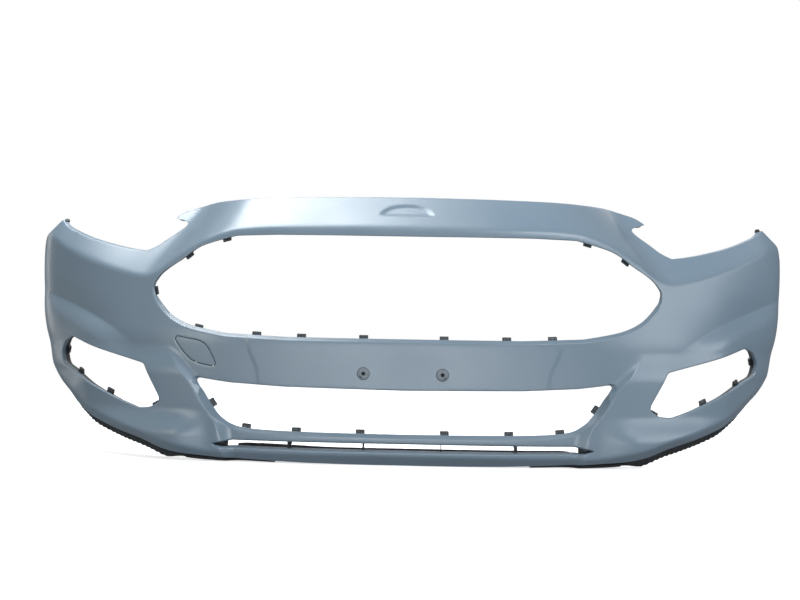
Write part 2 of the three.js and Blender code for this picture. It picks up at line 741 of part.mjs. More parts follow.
const blank = skinBlank();
addPiece('bumper_cover', buildCover(blank), primer());
addPiece('tow_eye_cap', buildCap(blank), primer());
addDeflectors();
addRivets();
addClips();
addGrommets();

export default model;
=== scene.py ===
# Front bumper cover: the looks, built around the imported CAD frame.
#
# The cover's outer face is the same analytic surface as in the CAD model. s runs
# along the skin from the centre plane, z is the height and d is the depth behind
# the outer face, all in millimetres. wrap() turns them into metres in the frame.

import math

import bmesh
import bpy
import numpy as np
from mathutils import Matrix, Vector, kdtree
from mathutils.geometry import delaunay_2d_cdt


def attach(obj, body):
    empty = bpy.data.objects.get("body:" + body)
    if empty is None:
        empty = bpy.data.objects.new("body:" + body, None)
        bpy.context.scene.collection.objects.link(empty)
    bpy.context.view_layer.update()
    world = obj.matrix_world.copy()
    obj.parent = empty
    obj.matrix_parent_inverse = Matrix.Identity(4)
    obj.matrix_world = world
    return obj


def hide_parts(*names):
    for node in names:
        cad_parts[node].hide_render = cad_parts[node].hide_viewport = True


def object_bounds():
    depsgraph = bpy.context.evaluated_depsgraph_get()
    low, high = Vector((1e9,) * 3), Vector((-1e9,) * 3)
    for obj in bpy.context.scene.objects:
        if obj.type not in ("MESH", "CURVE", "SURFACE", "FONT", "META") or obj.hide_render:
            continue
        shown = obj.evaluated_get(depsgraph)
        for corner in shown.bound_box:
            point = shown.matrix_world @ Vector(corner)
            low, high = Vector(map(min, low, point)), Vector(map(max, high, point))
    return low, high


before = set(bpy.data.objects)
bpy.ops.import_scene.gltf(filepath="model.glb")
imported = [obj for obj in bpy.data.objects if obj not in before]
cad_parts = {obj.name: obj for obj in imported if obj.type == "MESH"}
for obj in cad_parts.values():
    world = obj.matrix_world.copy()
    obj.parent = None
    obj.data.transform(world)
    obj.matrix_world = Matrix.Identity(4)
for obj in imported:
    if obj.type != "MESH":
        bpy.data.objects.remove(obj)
CAD_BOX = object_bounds()

MM = 0.001

# ---- driving dimensions, in millimetres ----
SKIN = 3.0
FLAT_HALF = 60.0
SWEEP_ANGLE = 36.0
CORNER_ANGLE = 48.0
SIDE_ANGLE = 6.0
ORIGIN_Y = 271.3
FLANGE = 2.6
LAMP_RETURN = 14.0
TOP_RETURN = 34.0
ARCH_RETURN = 24.0
SOLE_RETURN = 40.0
EDGE_RETURN = 4.6
FLOOR_DEPTH = 105.0
CAP_GAP = 1.3
COLLAR = 12.6  # depth of the collar behind a plain cut in the skin
LUG_COLLAR = 3.8  # its depth beside the hinge lug of the tow-eye cap
LUG_TOP = 229.0
PLATE_HOLE_HALF = 88.0
PLATE_HOLE_Z = 205.0
PLATE_HOLE_RADIUS = 7.0
PILLAR_WIDTH = 24.0
RIVET_DEPTH = 24.0
BADGE_Z = 566.0
BADGE_HALF = 64.0
BADGE_HEIGHT = 27.0
BADGE_DEPTH = 5.0
GAP = 0.4
FINE = 4.0  # spacing of the points along outlines
OUTER_STEP = 4.5  # spacing of the points on the outer face
INNER_STEP = 11.0
PER_SPAN = 10  # points of a smooth curve for each of its knots

# Each wall: its depth, how far it turns from square to the skin to straight back,
# and how much the opening widens towards the back.
GRILLE_WALL = (26.0, 1.0, 0.17)
INTAKE_WALL = (30.0, 1.0, 0.15)
FOG_WALL = (34.0, 0.8, 0.20)
SLOT_WALL = (30.0, 1.0, 0.0)


# ---- smooth functions ----
def ease(t):
    c = np.clip(t, 0.0, 1.0)
    return c * c * (3 - 2 * c)


def bevel(d, r):
    return np.where(d < -r, 0.0, np.where(d > r, d, (d + r) ** 2 / (4 * r)))


def through(points):
    """A monotone curve through points, level beyond its ends."""
    xs, ys = np.array(points, float).T
    step = np.diff(ys) / np.diff(xs)
    before = np.concatenate([step[:1], step])
    after = np.concatenate([step, step[-1:]])
    both = before + after
    safe = np.where(both == 0, 1.0, both)
    slope = np.where(before * after <= 0, 0.0, 2 * before * after / safe)

    def at(x):
        x = np.clip(x, xs[0], xs[-1])
        i = np.clip(np.searchsorted(xs, x, side="right") - 1, 0, len(xs) - 2)
        w = xs[i + 1] - xs[i]
        t = (x - xs[i]) / w
        a = (1 + 2 * t) * (1 - t) ** 2 * ys[i]
        b = t * (1 - t) ** 2 * w * slope[i]
        c = t * t * (3 - 2 * t) * ys[i + 1]
        e = t * t * (t - 1) * w * slope[i + 1]
        return a + b + c + e

    return at


# ---- feature lines of the outer face ----
band_line = through([
    (0, 535), (300, 533), (400, 527), (480, 505), (560, 462), (612, 428), (645, 420),
    (690, 425), (800, 450), (900, 485), (960, 512), (1000, 518), (1040, 522), (1100, 530),
])
shoulder_line = through([
    (560, 236), (590, 243), (650, 264), (735, 300), (803, 325), (874, 347), (1000, 380),
    (1130, 396),
])
chin_line = through([
    (0, 22), (430, 22), (500, 34), (560, 48), (610, 64), (702, 86), (775, 106),
    (841, 132), (925, 165), (1000, 190), (1200, 240),
])
pillar_line = through([
    (0, 400), (60, 410), (95, 424), (122, 446), (141, 460), (180, 488), (208, 516), (262, 556),
])
pad_line = through([(100, 300), (172, 320), (205, 324), (256, 345), (274, 350), (300, 356)])


def heading(s):
    """The direction of the plan curve, from straight across at the centre plane."""
    sweep = math.radians(SWEEP_ANGLE) * ease((s - FLAT_HALF) / 860)
    corner = math.radians(CORNER_ANGLE) * ease((s - 930) / 150)
    side = math.radians(SIDE_ANGLE) * ease((s - 1080) / 120)
    return sweep + corner + side


def plan_points():
    """Points of the plan curve, one for each millimetre of s."""
    angle = heading(np.arange(1400) + 0.5)
    x = np.concatenate([[0.0], np.cumsum(np.cos(angle))])
    y = np.concatenate([[0.0], np.cumsum(np.sin(angle))])
    return x, y


PLAN_X, PLAN_Y = plan_points()


def crease(u):
    """The face rolls in towards the shoulder line, then a ledge runs out below it."""
    below = 1 - np.clip(bevel(-u, 3) / 46, 0, 1)
    return 19 * (1 - below ** 2) - 5 * (1 - np.clip(u / 70, 0, 1)) ** 2


def relief(s, z):
    """How far the outer face stands in front of the plan curve."""
    a = np.abs(s)
    # the face leans back from the grille's sill up, and further above the band line
    lean = 0.29 - 0.07 * ease(a / 600) - 0.17 * ease((a - 600) / 350)
    out = -lean * bevel(z - 280, 20)
    out -= (1 - 0.35 * ease((a - 700) / 300)) * bevel(z - band_line(a), 8)
    # the sides draw in towards the ground
    out -= ease((a - 760) / 220) * (0.1 * bevel(440 - z, 50) + 0.2 * bevel(300 - z, 40))
    # the crease over the fog-lamp openings
    pod = ease((a - 640) / 160) * (1 - ease((a - 900) / 160))
    out += pod * crease(z - shoulder_line(a)) * (1 - 0.6 * ease((200 - z) / 120))
    # the pillars that stand proud between the lower intake and the fog-lamp openings
    rise = np.clip((a - pillar_line(z)) / PILLAR_WIDTH + 1, 0, 1)
    pillar = rise * (0.4 + 0.6 * rise) * ease((262 - z) / 70)
    out += 16 * pillar * (1 - 0.5 * ease((a - 700) / 200))
    # the shallow step beside the number-plate pad
    past = a - pad_line(z)
    step = 1.5 * ease(past / 8) * (1 - ease(past / 110))
    out -= step * ease((300 - z) / 15) * ease((z - 120) / 40)
    # the lower corners swell out, and the face tucks under below the chin line
    out += 9 * ease((a - 790) / 90) * ease((192 - z) / 55)
    flare = ease((a - 430) / 90) * (1 - ease((a - 640) / 200))
    out += 20 * flare * ease((118 - z) / 62)
    out -= (0.9 - 0.55 * ease((a - 700) / 150)) * bevel(chin_line(a) - z, 5)
    # the half-oval badge recess
    oval = (a / BADGE_HALF) ** 2 + ((z - BADGE_Z) / BADGE_HEIGHT) ** 2
    return out - np.where(z > BADGE_Z, BADGE_DEPTH * ease((1 - oval) / 0.4), 0.0)


def wrap(s, d, z):
    """Points (s, d, z) on the curved skin, as an array of x, y, z in metres."""
    s, d, z = np.broadcast_arrays(*(np.asarray(value, float) for value in (s, d, z)))
    a = np.abs(s)
    grid = np.arange(len(PLAN_X))
    x = np.interp(a, grid, PLAN_X)
    y = np.interp(a, grid, PLAN_Y)
    angle = heading(a)
    out = relief(s, z) - d
    side = np.where(s < 0, -1.0, 1.0)
    px = side * (x + out * np.sin(angle))
    py = y - out * np.cos(angle) - ORIGIN_Y
    return np.stack([px, py, z], axis=-1) * MM


def at_depth(d):
    """Puts flat points (s, z) at one depth."""
    return lambda p: wrap(p[:, 0], d, p[:, 1])


def at_height(z):
    """Puts flat points (s, d) at one height."""
    return lambda p: wrap(p[:, 0], p[:, 1], z)


def at_side(s):
    """Puts flat points (d, z) at one s."""
    return lambda p: wrap(s, p[:, 0], p[:, 1])


def draw(s, d, pull):
    """How far along s a wall at depth d moves so that it runs straight back."""
    return np.sign(s) * d * pull * np.tan(heading(np.abs(s)))


# ---- outlines in (s, z) ----
def curve(knots):
    """A smooth curve through knots."""
    p = np.array(knots, float)
    out = []
    for i in range(len(p) - 1):
        p0, p1, p2, p3 = p[max(i - 1, 0)], p[i], p[i + 1], p[min(i + 2, len(p) - 1)]
        v0, v1 = (p2 - p0) * 0.5, (p3 - p1) * 0.5
        for k in range(PER_SPAN):
            t = k / PER_SPAN
            a = (2 * p1 - 2 * p2 + v0 + v1) * t ** 3
            b = (-3 * p1 + 3 * p2 - 2 * v0 - v1) * t ** 2
            out.append(a + b + v0 * t + p1)
    out.append(p[-1])
    return [tuple(q) for q in out]


def mirrored(path):
    return [(-s, z) for s, z in path][::-1]


def both_sides(half):
    return half + mirrored(half)[1:-1]


def even(path, step=FINE, closed=True):
    """The same path with its points the same distance apart."""
    p = np.array(path, float)
    if closed:
        p = np.vstack([p, p[:1]])
    length = np.concatenate([[0], np.cumsum(np.hypot(*np.diff(p, axis=0).T))])
    count = max(3, round(length[-1] / step))
    at = np.linspace(0, length[-1], count + 1)
    out = np.stack([np.interp(at, length, p[:, k]) for k in (0, 1)], axis=1)
    return out[:-1] if closed else out


def softened(path, rounds):
    """A closed path with its corners rounded."""
    p = np.array(path, float)
    for _ in range(rounds):
        p = 0.25 * np.roll(p, 1, 0) + 0.5 * p + 0.25 * np.roll(p, -1, 0)
    return p


TOP_EDGE = [(0, 612), (FLAT_HALF, 612)] + curve([
    (195, 609.5), (358, 605.5), (490, 601.5), (590, 601), (626, 599), (680, 583), (699, 564),
])
LAMP_EDGE = curve([(672, 558), (650, 552), (645, 540), (666, 512), (678, 493), (698, 478)]) + curve(
    [(740, 483), (789, 492), (860, 510), (923, 533), (948, 545.5), (970, 557)]
)
SEAM = curve([(987, 534), (1012, 506), (1040, 481), (1130, 457), (1235, 440)])
ARCH = curve([(1235, 440), (1172, 384), (1128, 300), (1104, 218)])
SOLE = curve([
    (1104, 218), (1000, 180), (930, 147), (880, 121), (830, 101), (779, 84), (715, 66),
    (612, 42), (543, 21), (441, 11), (330, 5),
]) + [(220, 1.6), (122, 0.2), (FLAT_HALF, 0)]
TRIM_HALF = TOP_EDGE + LAMP_EDGE + SEAM + ARCH[1:] + SOLE[1:] + [(0, 0)]
TRIM = softened(even(both_sides(TRIM_HALF)), 1)

GRILLE = softened(even(both_sides(
    [(0, 514.5), (160, 514.5), (300, 514)]
    + curve([(402, 511), (490, 487), (540, 456), (592, 424), (614, 396)])
    + curve([(606, 375), (580, 350), (546, 325), (494, 305), (406, 289)])
    + [(267, 283.5), (122, 283), (0, 283)]
)), 2)
INTAKE = softened(even(both_sides(
    [(0, 168.5), (122, 170), (267, 172), (394, 178), (468, 186.5), (473, 182)]
    + curve([(454, 156), (430, 122), (405, 96), (370, 80), (284, 73.5), (122, 71.5)])
    + [(0, 71)]
)), 1)
FOG = softened(even(
    curve([(609, 214), (735, 240), (852, 268)])
    + curve([(890, 256), (911, 230), (905, 203)])
    + curve([(850, 190), (792, 173), (726, 149), (670, 128), (615, 113)])
    + curve([(585, 116), (564, 128), (562, 138)])
), 3)
FOG_LEFT = np.array(mirrored([tuple(p) for p in FOG]))
SLOT = softened(even(both_sides(
    [(0, 49.5), (200, 49.5), (385, 49), (426, 40.5), (404, 34.5), (200, 33.5), (0, 33)]
)), 1)
CAP_RIGHT = (
    curve([(532, 274), (520, 258), (505, 241), (488, 227)])
    + curve([(469, 220), (442, 215.5), (430, 215), (427.5, 219)])
    + curve([(438, 240), (451, 259), (469, 269.5), (500, 274.5), (527, 279)])
)
CAP = softened(even(mirrored(CAP_RIGHT), 2.0), 3)


def lefts(path, closed=True):
    """The direction to the left of a path at each point, lengthened at bends."""
    p = np.asarray(path, float)
    before = p - np.roll(p, 1, 0)
    after = np.roll(p, -1, 0) - p
    if not closed:
        before[0] = after[0]
        after[-1] = before[-1]
    before /= np.linalg.norm(before, axis=1, keepdims=True)
    after /= np.linalg.norm(after, axis=1, keepdims=True)
    along = before + after
    along /= np.linalg.norm(along, axis=1, keepdims=True)
    stretch = 1 / np.maximum(0.6, (along * before).sum(1))
    return np.stack([-along[:, 1] * stretch, along[:, 0] * stretch], axis=1)


def moved(path, distance):
    """A closed path moved to its left."""
    return path + lefts(path) * distance


def beside(path, left, out, d):
    """A row of points (s, d, z) out to the left of a path and d deep."""
    return path[:, 0] + left[:, 0] * out, d, path[:, 1] + left[:, 1] * out


# ---- meshes ----
WELD = 1e-5  # in metres
CHUNK = 4000  # points tested at a time
ROW_RATIO = 0.866  # height of a row of even triangles to their side
LINE_CLEAR = 3.0  # how far a crisp line stays from the openings


def add_object(name, data):
    obj = bpy.data.objects.new(name, data)
    bpy.context.scene.collection.objects.link(obj)
    return obj


class Build:
    """Collects points and faces, then welds them into one object."""

    def __init__(self):
        self.points = []
        self.coat = []
        self.faces = []
        self.count = 0

    def add(self, points, faces, coat):
        points = np.asarray(points, float).reshape(-1, 3)
        self.points.append(points)
        self.coat.append(np.broadcast_to(np.asarray(coat, float).reshape(-1), (len(points),)))
        self.faces += [tuple(self.count + i for i in f) for f in faces]
        self.count += len(points)

    def strip(self, rows, coats, closed=True):
        """Quads between rows of points, all of the same length."""
        n = len(rows[0])
        last = n if closed else n - 1
        faces = []
        for r in range(len(rows) - 1):
            for i in range(last):
                j = (i + 1) % n
                faces.append((r * n + i, r * n + j, (r + 1) * n + j, (r + 1) * n + i))
        coat = np.concatenate([np.broadcast_to(c, (n,)) for c in coats])
        self.add(np.concatenate(rows), faces, coat)

    def prism(self, rows, coat):
        """Rows of the same closed section, with a face on the first and the last."""
        self.strip(rows, [coat] * len(rows))
        for row in (rows[0], rows[-1]):
            self.add(row, [tuple(range(len(row)))], 0.0)

    def sheet(self, loops, step, surface, coat, lines=()):
        """Triangles between the loops, put in place by surface."""
        verts, faces = fill(loops, step, lines)
        self.add(surface(verts), faces, coat)

    def object(self, name, material, angle=None):
        """One welded smooth object. Edges that turn more than angle stay sharp."""
        mesh = bpy.data.meshes.new(name)
        points = np.concatenate(self.points)
        mesh.from_pydata(points.tolist(), [], self.faces)
        layer = mesh.attributes.new("coat", "FLOAT", "POINT")
        layer.data.foreach_set("value", np.concatenate(self.coat).astype(np.float32))
        bm = bmesh.new()
        bm.from_mesh(mesh)
        bmesh.ops.remove_doubles(bm, verts=bm.verts, dist=WELD)
        bmesh.ops.dissolve_degenerate(bm, edges=bm.edges, dist=WELD)
        bmesh.ops.recalc_face_normals(bm, faces=bm.faces)
        bm.to_mesh(mesh)
        bm.free()
        mesh.shade_smooth()
        if angle:
            mesh.set_sharp_from_angle(angle=math.radians(angle))
        mesh.materials.append(material)
        return add_object(name, mesh)


def inside(points, loops):
    """Whether each point lies inside an odd number of closed loops."""
    out = np.zeros(len(points), bool)
    for a in loops:
        b = np.roll(a, -1, 0)
        for first in range(0, len(points), CHUNK):
            p = points[first:first + CHUNK]
            z = p[:, 1:2]
            spans = (a[:, 1] > z) != (b[:, 1] > z)
            rise = np.where(b[:, 1] == a[:, 1], 1.0, b[:, 1] - a[:, 1])
            cross = a[:, 0] + (z - a[:, 1]) * (b[:, 0] - a[:, 0]) / rise
            crossings = np.sum(spans & (p[:, 0:1] < cross), axis=1)
            out[first:first + CHUNK] ^= crossings % 2 == 1
    return out


def grid_inside(loops, step, lines):
    """Points of a regular grid between the loops, away from the loops and lines."""
    every = np.concatenate(loops + lines)
    lo, hi = every.min(0), every.max(0)
    rows = []
    height = step * ROW_RATIO
    for k, z in enumerate(np.arange(lo[1] + height / 2, hi[1], height)):
        crossing = []
        for a in loops:
            b = np.roll(a, -1, 0)
            spans = (a[:, 1] > z) != (b[:, 1] > z)
            a, run = a[spans], (b - a)[spans]
            crossing += list(a[:, 0] + (z - a[:, 1]) * run[:, 0] / run[:, 1])
        crossing.sort()
        for left, right in zip(crossing[::2], crossing[1::2]):
            shift = 0.5 * (k % 2)
            first = math.ceil(left / step - shift)
            s = (np.arange(first, right / step - shift) + shift) * step
            rows.append(np.stack([s, np.full(len(s), z)], axis=1))
    grid = np.concatenate(rows)
    tree = kdtree.KDTree(len(every))
    for i, p in enumerate(every):
        tree.insert((p[0], p[1], 0), i)
    tree.balance()
    clear = 0.62 * min(step, 5)
    return grid[np.array([tree.find((p[0], p[1], 0))[2] > clear for p in grid])]


def line_pieces(path, loops):
    """The stretches of an open path that lie between the loops, clear of them."""
    path = np.asarray(path, float)
    every = np.concatenate(loops)
    gap = np.array([np.hypot(*(every - p).T).min() for p in path])
    keep = inside(path, loops) & (gap > LINE_CLEAR)
    ends = np.flatnonzero(np.diff(np.concatenate([[0], keep.astype(int), [0]])))
    return [path[a:b] for a, b in zip(ends[::2], ends[1::2]) if b - a > 2]


def fill(loops, step, lines=()):
    """Triangles inside the first loop and outside the rest, with edges along the lines."""
    lines = [piece for path in lines for piece in line_pieces(path, loops)]
    grid = grid_inside(loops, step, lines)
    edges = []
    start = 0
    for loop in loops:
        n = len(loop)
        edges += [(start + i, start + (i + 1) % n) for i in range(n)]
        start += n
    first = start
    for line in lines:
        edges += [(first + i, first + i + 1) for i in range(len(line) - 1)]
        first += len(line)
    points = np.concatenate(loops + lines + [grid])
    flat = [Vector(p) for p in points.tolist()]
    verts, _, faces, origin, _, _ = delaunay_2d_cdt(flat, edges, [], 0, 1e-6)
    verts = np.array([tuple(v) for v in verts])
    faces = np.array(faces)
    rim = np.array([bool(o) and min(o) < start for o in origin])
    sure = ~rim[faces].all(1)
    middle = verts[faces].mean(1)
    keep = sure.copy()
    keep[~sure] = inside(middle[~sure], loops)
    return verts, faces[keep].tolist()


# ---- materials ----
class Graph:
    """Short calls for adding and joining shader nodes."""

    def __init__(self, name):
        self.material = bpy.data.materials.new(name)
        self.material.use_nodes = True
        self.nodes = self.material.node_tree.nodes
        self.links = self.material.node_tree.links
        self.nodes.clear()
        self.place = self.nodes.new("ShaderNodeTexCoord").outputs["Object"]

    def put(self, socket, value):
        if isinstance(value, bpy.types.NodeSocket):
            self.links.new(value, socket)
        else:
            socket.default_value = value

    def feed(self, node, first, *values):
        """Puts values into a node's inputs, from the first on."""
        for k, value in enumerate(values):
            self.put(node.inputs[first + k], value)

    def node(self, kind, **inputs):
        """A new node. Each input is a value or the output of another node."""
        node = self.nodes.new("ShaderNode" + kind)
        for name, value in inputs.items():
            self.put(node.inputs[name.replace("_", " ")], value)
        return node

    def noise(self, scale, detail=3.0, rough=0.5, stretch=None):
        place = self.place
        if stretch:
            place = self.node("Mapping", Vector=place, Scale=stretch).outputs["Vector"]
        node = self.node("TexNoise", Vector=place, Scale=scale, Detail=detail, Roughness=rough)
        return node.outputs["Fac"]

    def spread(self, value, low, high, to_low=0.0, to_high=1.0):
        """Spreads the values from low to high over the range from to_low to to_high."""
        node = self.node("MapRange", Value=value, From_Min=low, From_Max=high)
        self.put(node.inputs["To Min"], to_low)
        self.put(node.inputs["To Max"], to_high)
        return node.outputs["Result"]

    def math(self, operation, a, b):
        node = self.node("Math")
        node.operation = operation
        self.feed(node, 0, a, b)
        return node.outputs["Value"]

    def mix(self, factor, a, b, kind="RGBA"):
        """A mix of two colours, or of two numbers where kind is FLOAT."""
        node = self.node("Mix")
        node.data_type = kind
        first, output = (6, 2) if kind == "RGBA" else (2, 0)
        self.put(node.inputs[0], factor)
        self.feed(node, first, a, b)
        return node.outputs[output]

    def worn(self, color, tint, share, low, high):
        """A colour rubbed towards a tint along raised edges."""
        edge = self.spread(self.node("NewGeometry").outputs["Pointiness"], low, high)
        return self.mix(self.math("MULTIPLY", edge, share), color, tint)

    def bump(self, height, strength, distance):
        node = self.node("Bump", Height=height, Strength=strength, Distance=distance)
        return node.outputs["Normal"]

    def attribute(self, name):
        node = self.node("Attribute")
        node.attribute_name = name
        return node.outputs["Fac"]

    def finish(self, color, roughness, normal, **inputs):
        inputs.update(Base_Color=color, Roughness=roughness, Normal=normal)
        return self.surface(self.node("BsdfPrincipled", **inputs).outputs["BSDF"])

    def surface(self, shader):
        self.node("OutputMaterial", Surface=shader)
        return self.material


def primed_plastic():
    """Satin primer, sprayed over black plastic that shows where coat is 0."""
    g = Graph("primed_plastic")
    cloud = g.spread(g.noise(3.2, 2.0), 0.32, 0.68)
    mist = g.spread(g.noise(60, 4.0, 0.6), 0.3, 0.7)
    speck = g.spread(g.noise(900, 2.0), 0.35, 0.65)
    primer = g.mix(cloud, (0.170, 0.232, 0.290, 1), (0.190, 0.250, 0.305, 1))
    primer = g.mix(g.math("MULTIPLY", mist, 0.22), primer, (0.205, 0.262, 0.315, 1))
    primer = g.mix(g.math("MULTIPLY", speck, 0.10), primer, (0.24, 0.30, 0.35, 1))
    primer = g.worn(primer, (0.29, 0.35, 0.40, 1), 0.35, 0.515, 0.56)
    raw = g.mix(mist, (0.016, 0.017, 0.018, 1), (0.030, 0.031, 0.032, 1))
    uneven = g.spread(g.noise(420, 3.0), 0.3, 0.7, -0.35, 0.35)
    coat = g.spread(g.math("ADD", g.attribute("coat"), uneven), 0.35, 0.75)
    color = g.mix(coat, raw, primer)
    smooth = g.spread(g.noise(7.0, 3.0), 0.3, 0.7, 0.30, 0.38)
    roughness = g.mix(coat, 0.62, smooth, "FLOAT")
    peel = g.bump(g.noise(330, 2.0, 0.45), 0.10, 0.0004)
    grain = g.node("Bump", Height=g.noise(1500, 2.0), Strength=0.10, Distance=0.0001, Normal=peel)
    return g.finish(color, roughness, grain.outputs["Normal"], Specular_IOR_Level=0.75)


def black_plastic():
    g = Graph("black_plastic")
    mist = g.spread(g.noise(90, 4.0, 0.6), 0.3, 0.7)
    color = g.mix(mist, (0.010, 0.0105, 0.011, 1), (0.026, 0.027, 0.028, 1))
    color = g.worn(color, (0.06, 0.062, 0.065, 1), 0.4, 0.52, 0.6)
    dust = g.spread(g.noise(25, 5.0, 0.65), 0.52, 0.75, 0.0, 0.25)
    color = g.mix(dust, color, (0.09, 0.09, 0.088, 1))
    roughness = g.spread(g.noise(40, 3.0), 0.3, 0.7, 0.48, 0.66)
    grain = g.bump(g.noise(1100, 3.0), 0.35, 0.0002)
    return g.finish(color, roughness, grain)


def grey_nylon():
    g = Graph("grey_nylon")
    cloud = g.spread(g.noise(140, 3.0), 0.3, 0.7)
    color = g.mix(cloud, (0.16, 0.19, 0.22, 1), (0.21, 0.24, 0.27, 1))
    color = g.worn(color, (0.34, 0.37, 0.40, 1), 0.4, 0.52, 0.6)
    roughness = g.spread(g.noise(220, 3.0), 0.3, 0.7, 0.38, 0.52)
    return g.finish(color, roughness, g.bump(g.noise(900, 2.0), 0.2, 0.0002))


def spring_steel():
    g = Graph("spring_steel")
    brushed = g.noise(400, 4.0, 0.6, (1.0, 1.0, 14.0))
    color = g.mix(brushed, (0.10, 0.105, 0.11, 1), (0.20, 0.205, 0.215, 1))
    oil = g.spread(g.noise(60, 4.0), 0.45, 0.7)
    color = g.mix(oil, color, (0.13, 0.115, 0.10, 1))
    roughness = g.spread(brushed, 0.3, 0.7, 0.28, 0.42)
    return g.finish(color, roughness, g.bump(brushed, 0.15, 0.0001), Metallic=0.9)


PRIMER = primed_plastic()
BLACK = black_plastic()
NYLON = grey_nylon()
STEEL = spring_steel()


def place(obj, slot, node="bumper_cover", body="cover"):
    """Puts a finished piece on its body, in place of its CAD node."""
    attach(obj, body)
    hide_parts(node)


# ---- the cover's skin ----
FOG_BEVEL = 3.0
SLOT_BEVEL = 3.4
LINE_STEP = 3.0
LINE_GAP = 2.4


def grille_bevel(path):
    """Width of the bevel: narrow along the top of the opening, wide along its sill."""
    return 2 + 7 * ease((400 - path[:, 1]) / 40)


def intake_bevel(path):
    """Width of the bevel: narrow along the top of the opening, wide elsewhere."""
    a, z = np.abs(path[:, 0]), path[:, 1]
    return np.where((z > 160) & (a < 470), 2.0, 9 + 4 * ease((z - 90) / 40))


def spread_smoothly(values, rounds):
    """Values along a closed path, averaged with their neighbours."""
    v = np.array(values, float)
    for _ in range(rounds):
        v = 0.25 * np.roll(v, 1) + 0.5 * v + 0.25 * np.roll(v, -1)
    return v


def coat_at(depth):
    """Primer reaches a little way into a return and thins out behind it."""
    return 1 - ease((np.asarray(depth, float) - 9) / 13)


def opening_rows(path, width, wall, primed=0.0):
    """Rows round an opening: outer face, bevel, wall, rolled end, back of the wall."""
    depth, pull, draft = wall
    left = lefts(path)
    drop = 0.8 * width
    soft = np.minimum(1.0, 0.4 * width)
    start = drop + 1.3 * soft
    section = [
        (width, 0.0, 1.0),
        (width - 0.55 * soft, 0.10 * soft, 1.0),
        (width - 1.3 * soft, 0.55 * soft, 1.0),
        (0.66 * width, 0.34 * drop + 0.2, 1.0),
        (0.33 * width, 0.67 * drop + 0.2, 1.0),
        (0.9 * soft, drop - 0.45 * soft, 1.0),
        (0.25 * soft, drop + 0.35 * soft, 1.0),
        (0.0, start, 1.0),
    ]
    for t in (0.15, 0.35, 0.6, 0.8, 1.0):
        at = start + (depth - 0.8 - start) * t
        section.append((0.0, at, np.maximum(coat_at(at), primed)))
    section += [
        (0.3, depth - 0.15, 0.0),
        (FLANGE / 2, depth, 0.0),
        (FLANGE - 0.3, depth - 0.15, 0.0),
        (FLANGE, depth - 0.8, 0.0),
        (FLANGE, drop + 6, 0.0),
        (np.maximum(0.5 * width, FLANGE + 0.4), 0.6 * drop + SKIN + 1, 0.0),
        (width + 1.6, SKIN, 0.0),
    ]
    rows = []
    for out, d, _ in section:
        s, _, z = beside(path, left, out + draft * np.maximum(d - drop, 0), d)
        rows.append((s + draw(path[:, 0], d, pull), d, z))
    return rows, [coat for _, _, coat in section]


def trim_depth(path):
    """Depth of the return flange along the trimmed edge."""
    a, z = np.abs(path[:, 0]), path[:, 1]
    depth = np.full(len(a), EDGE_RETURN)
    lamp = (a > 690) & (a < 975) & (z > 470) & (z < 560)
    tip = (a > 655) & (a < 700) & (z > 545) & (z < 566)
    arch = (a > 1100) & (z > 225) & (z < 432)
    sole = (a < 950) & (z < 160)
    depth[lamp | tip] = LAMP_RETURN
    depth[arch] = ARCH_RETURN
    depth[sole] = SOLE_RETURN
    return spread_smoothly(depth, 6)


def trim_rows(path):
    """Rows round the trimmed edge: outer face, rolled edge, return flange, inner face."""
    left = lefts(path)
    depth = trim_depth(path)
    back = np.minimum(depth - 0.7, SKIN + 1.4)
    outside = [(-0.9, 0.0), (-0.28, 0.27), (0.0, 0.9)]
    outside += [(0.0, 0.9 + (depth - 1.6) * t) for t in (0.2, 0.45, 0.7, 0.85, 1.0)]
    inside_rows = [
        (-0.3, depth - 0.15), (-FLANGE / 2, depth), (-FLANGE + 0.3, depth - 0.15),
        (-FLANGE, depth - 0.7), (-FLANGE, back), (-FLANGE - 1.3, SKIN),
    ]
    rows = [beside(path, left, out, d) for out, d in outside + inside_rows]
    coats = [coat_at(d) for _, d in outside]
    return rows, coats + [0.0] * len(inside_rows)


def beside_lug(path, s0, s1):
    """Whether each point is near the hinge lug of the tow-eye cap, between two values of s."""
    return (path[:, 0] > s0) & (path[:, 0] < s1) & (path[:, 1] < LUG_TOP)


def edge_rows(path, depth):
    """Rows round a plain cut in the skin with a collar of this depth behind it."""
    left = lefts(path)
    section = [
        (0.8, 0.0, 1.0), (0.25, 0.22, 1.0), (0.0, 0.8, 0.6),
        (0.0, 1.1, 0.0), (0.0, 2.4, 0.0), (0.0, 0.5 * depth, 0.0),
        (0.0, depth - 0.4, 0.0), (0.5, depth, 0.0), (1.8, depth, 0.0), (2.2, depth - 0.4, 0.0),
        (2.2, SKIN + 0.3, 0.0), (3.4, SKIN, 0.0),
    ]
    rows = [beside(path, left, out, d) for out, d, _ in section]
    return rows, [coat for _, _, coat in section]


def circle(s, z, radius, count):
    """A clockwise circle in (s, z)."""
    turn = -np.arange(count) * 2 * math.pi / count
    return np.stack([s + radius * np.cos(turn), z + radius * np.sin(turn)], axis=1)


def feature_lines():
    """The crisp lines of the outer face, each with a close line on either side."""
    s = np.arange(0, 1240, LINE_STEP)
    z = np.arange(70, 262, LINE_STEP)
    level = ((band_line, 0, 1000), (shoulder_line, 648, 1050), (chin_line, 0, 1000))
    lines = []
    for shift in (-LINE_GAP, 0.0, LINE_GAP):
        for height, low, high in level:
            part = s[(s >= low) & (s <= high)]
            lines.append(np.stack([part, height(part) + shift], axis=1))
        lines.append(np.stack([pillar_line(z) + shift, z], axis=1))
    return lines + [line * (-1, 1) for line in lines]


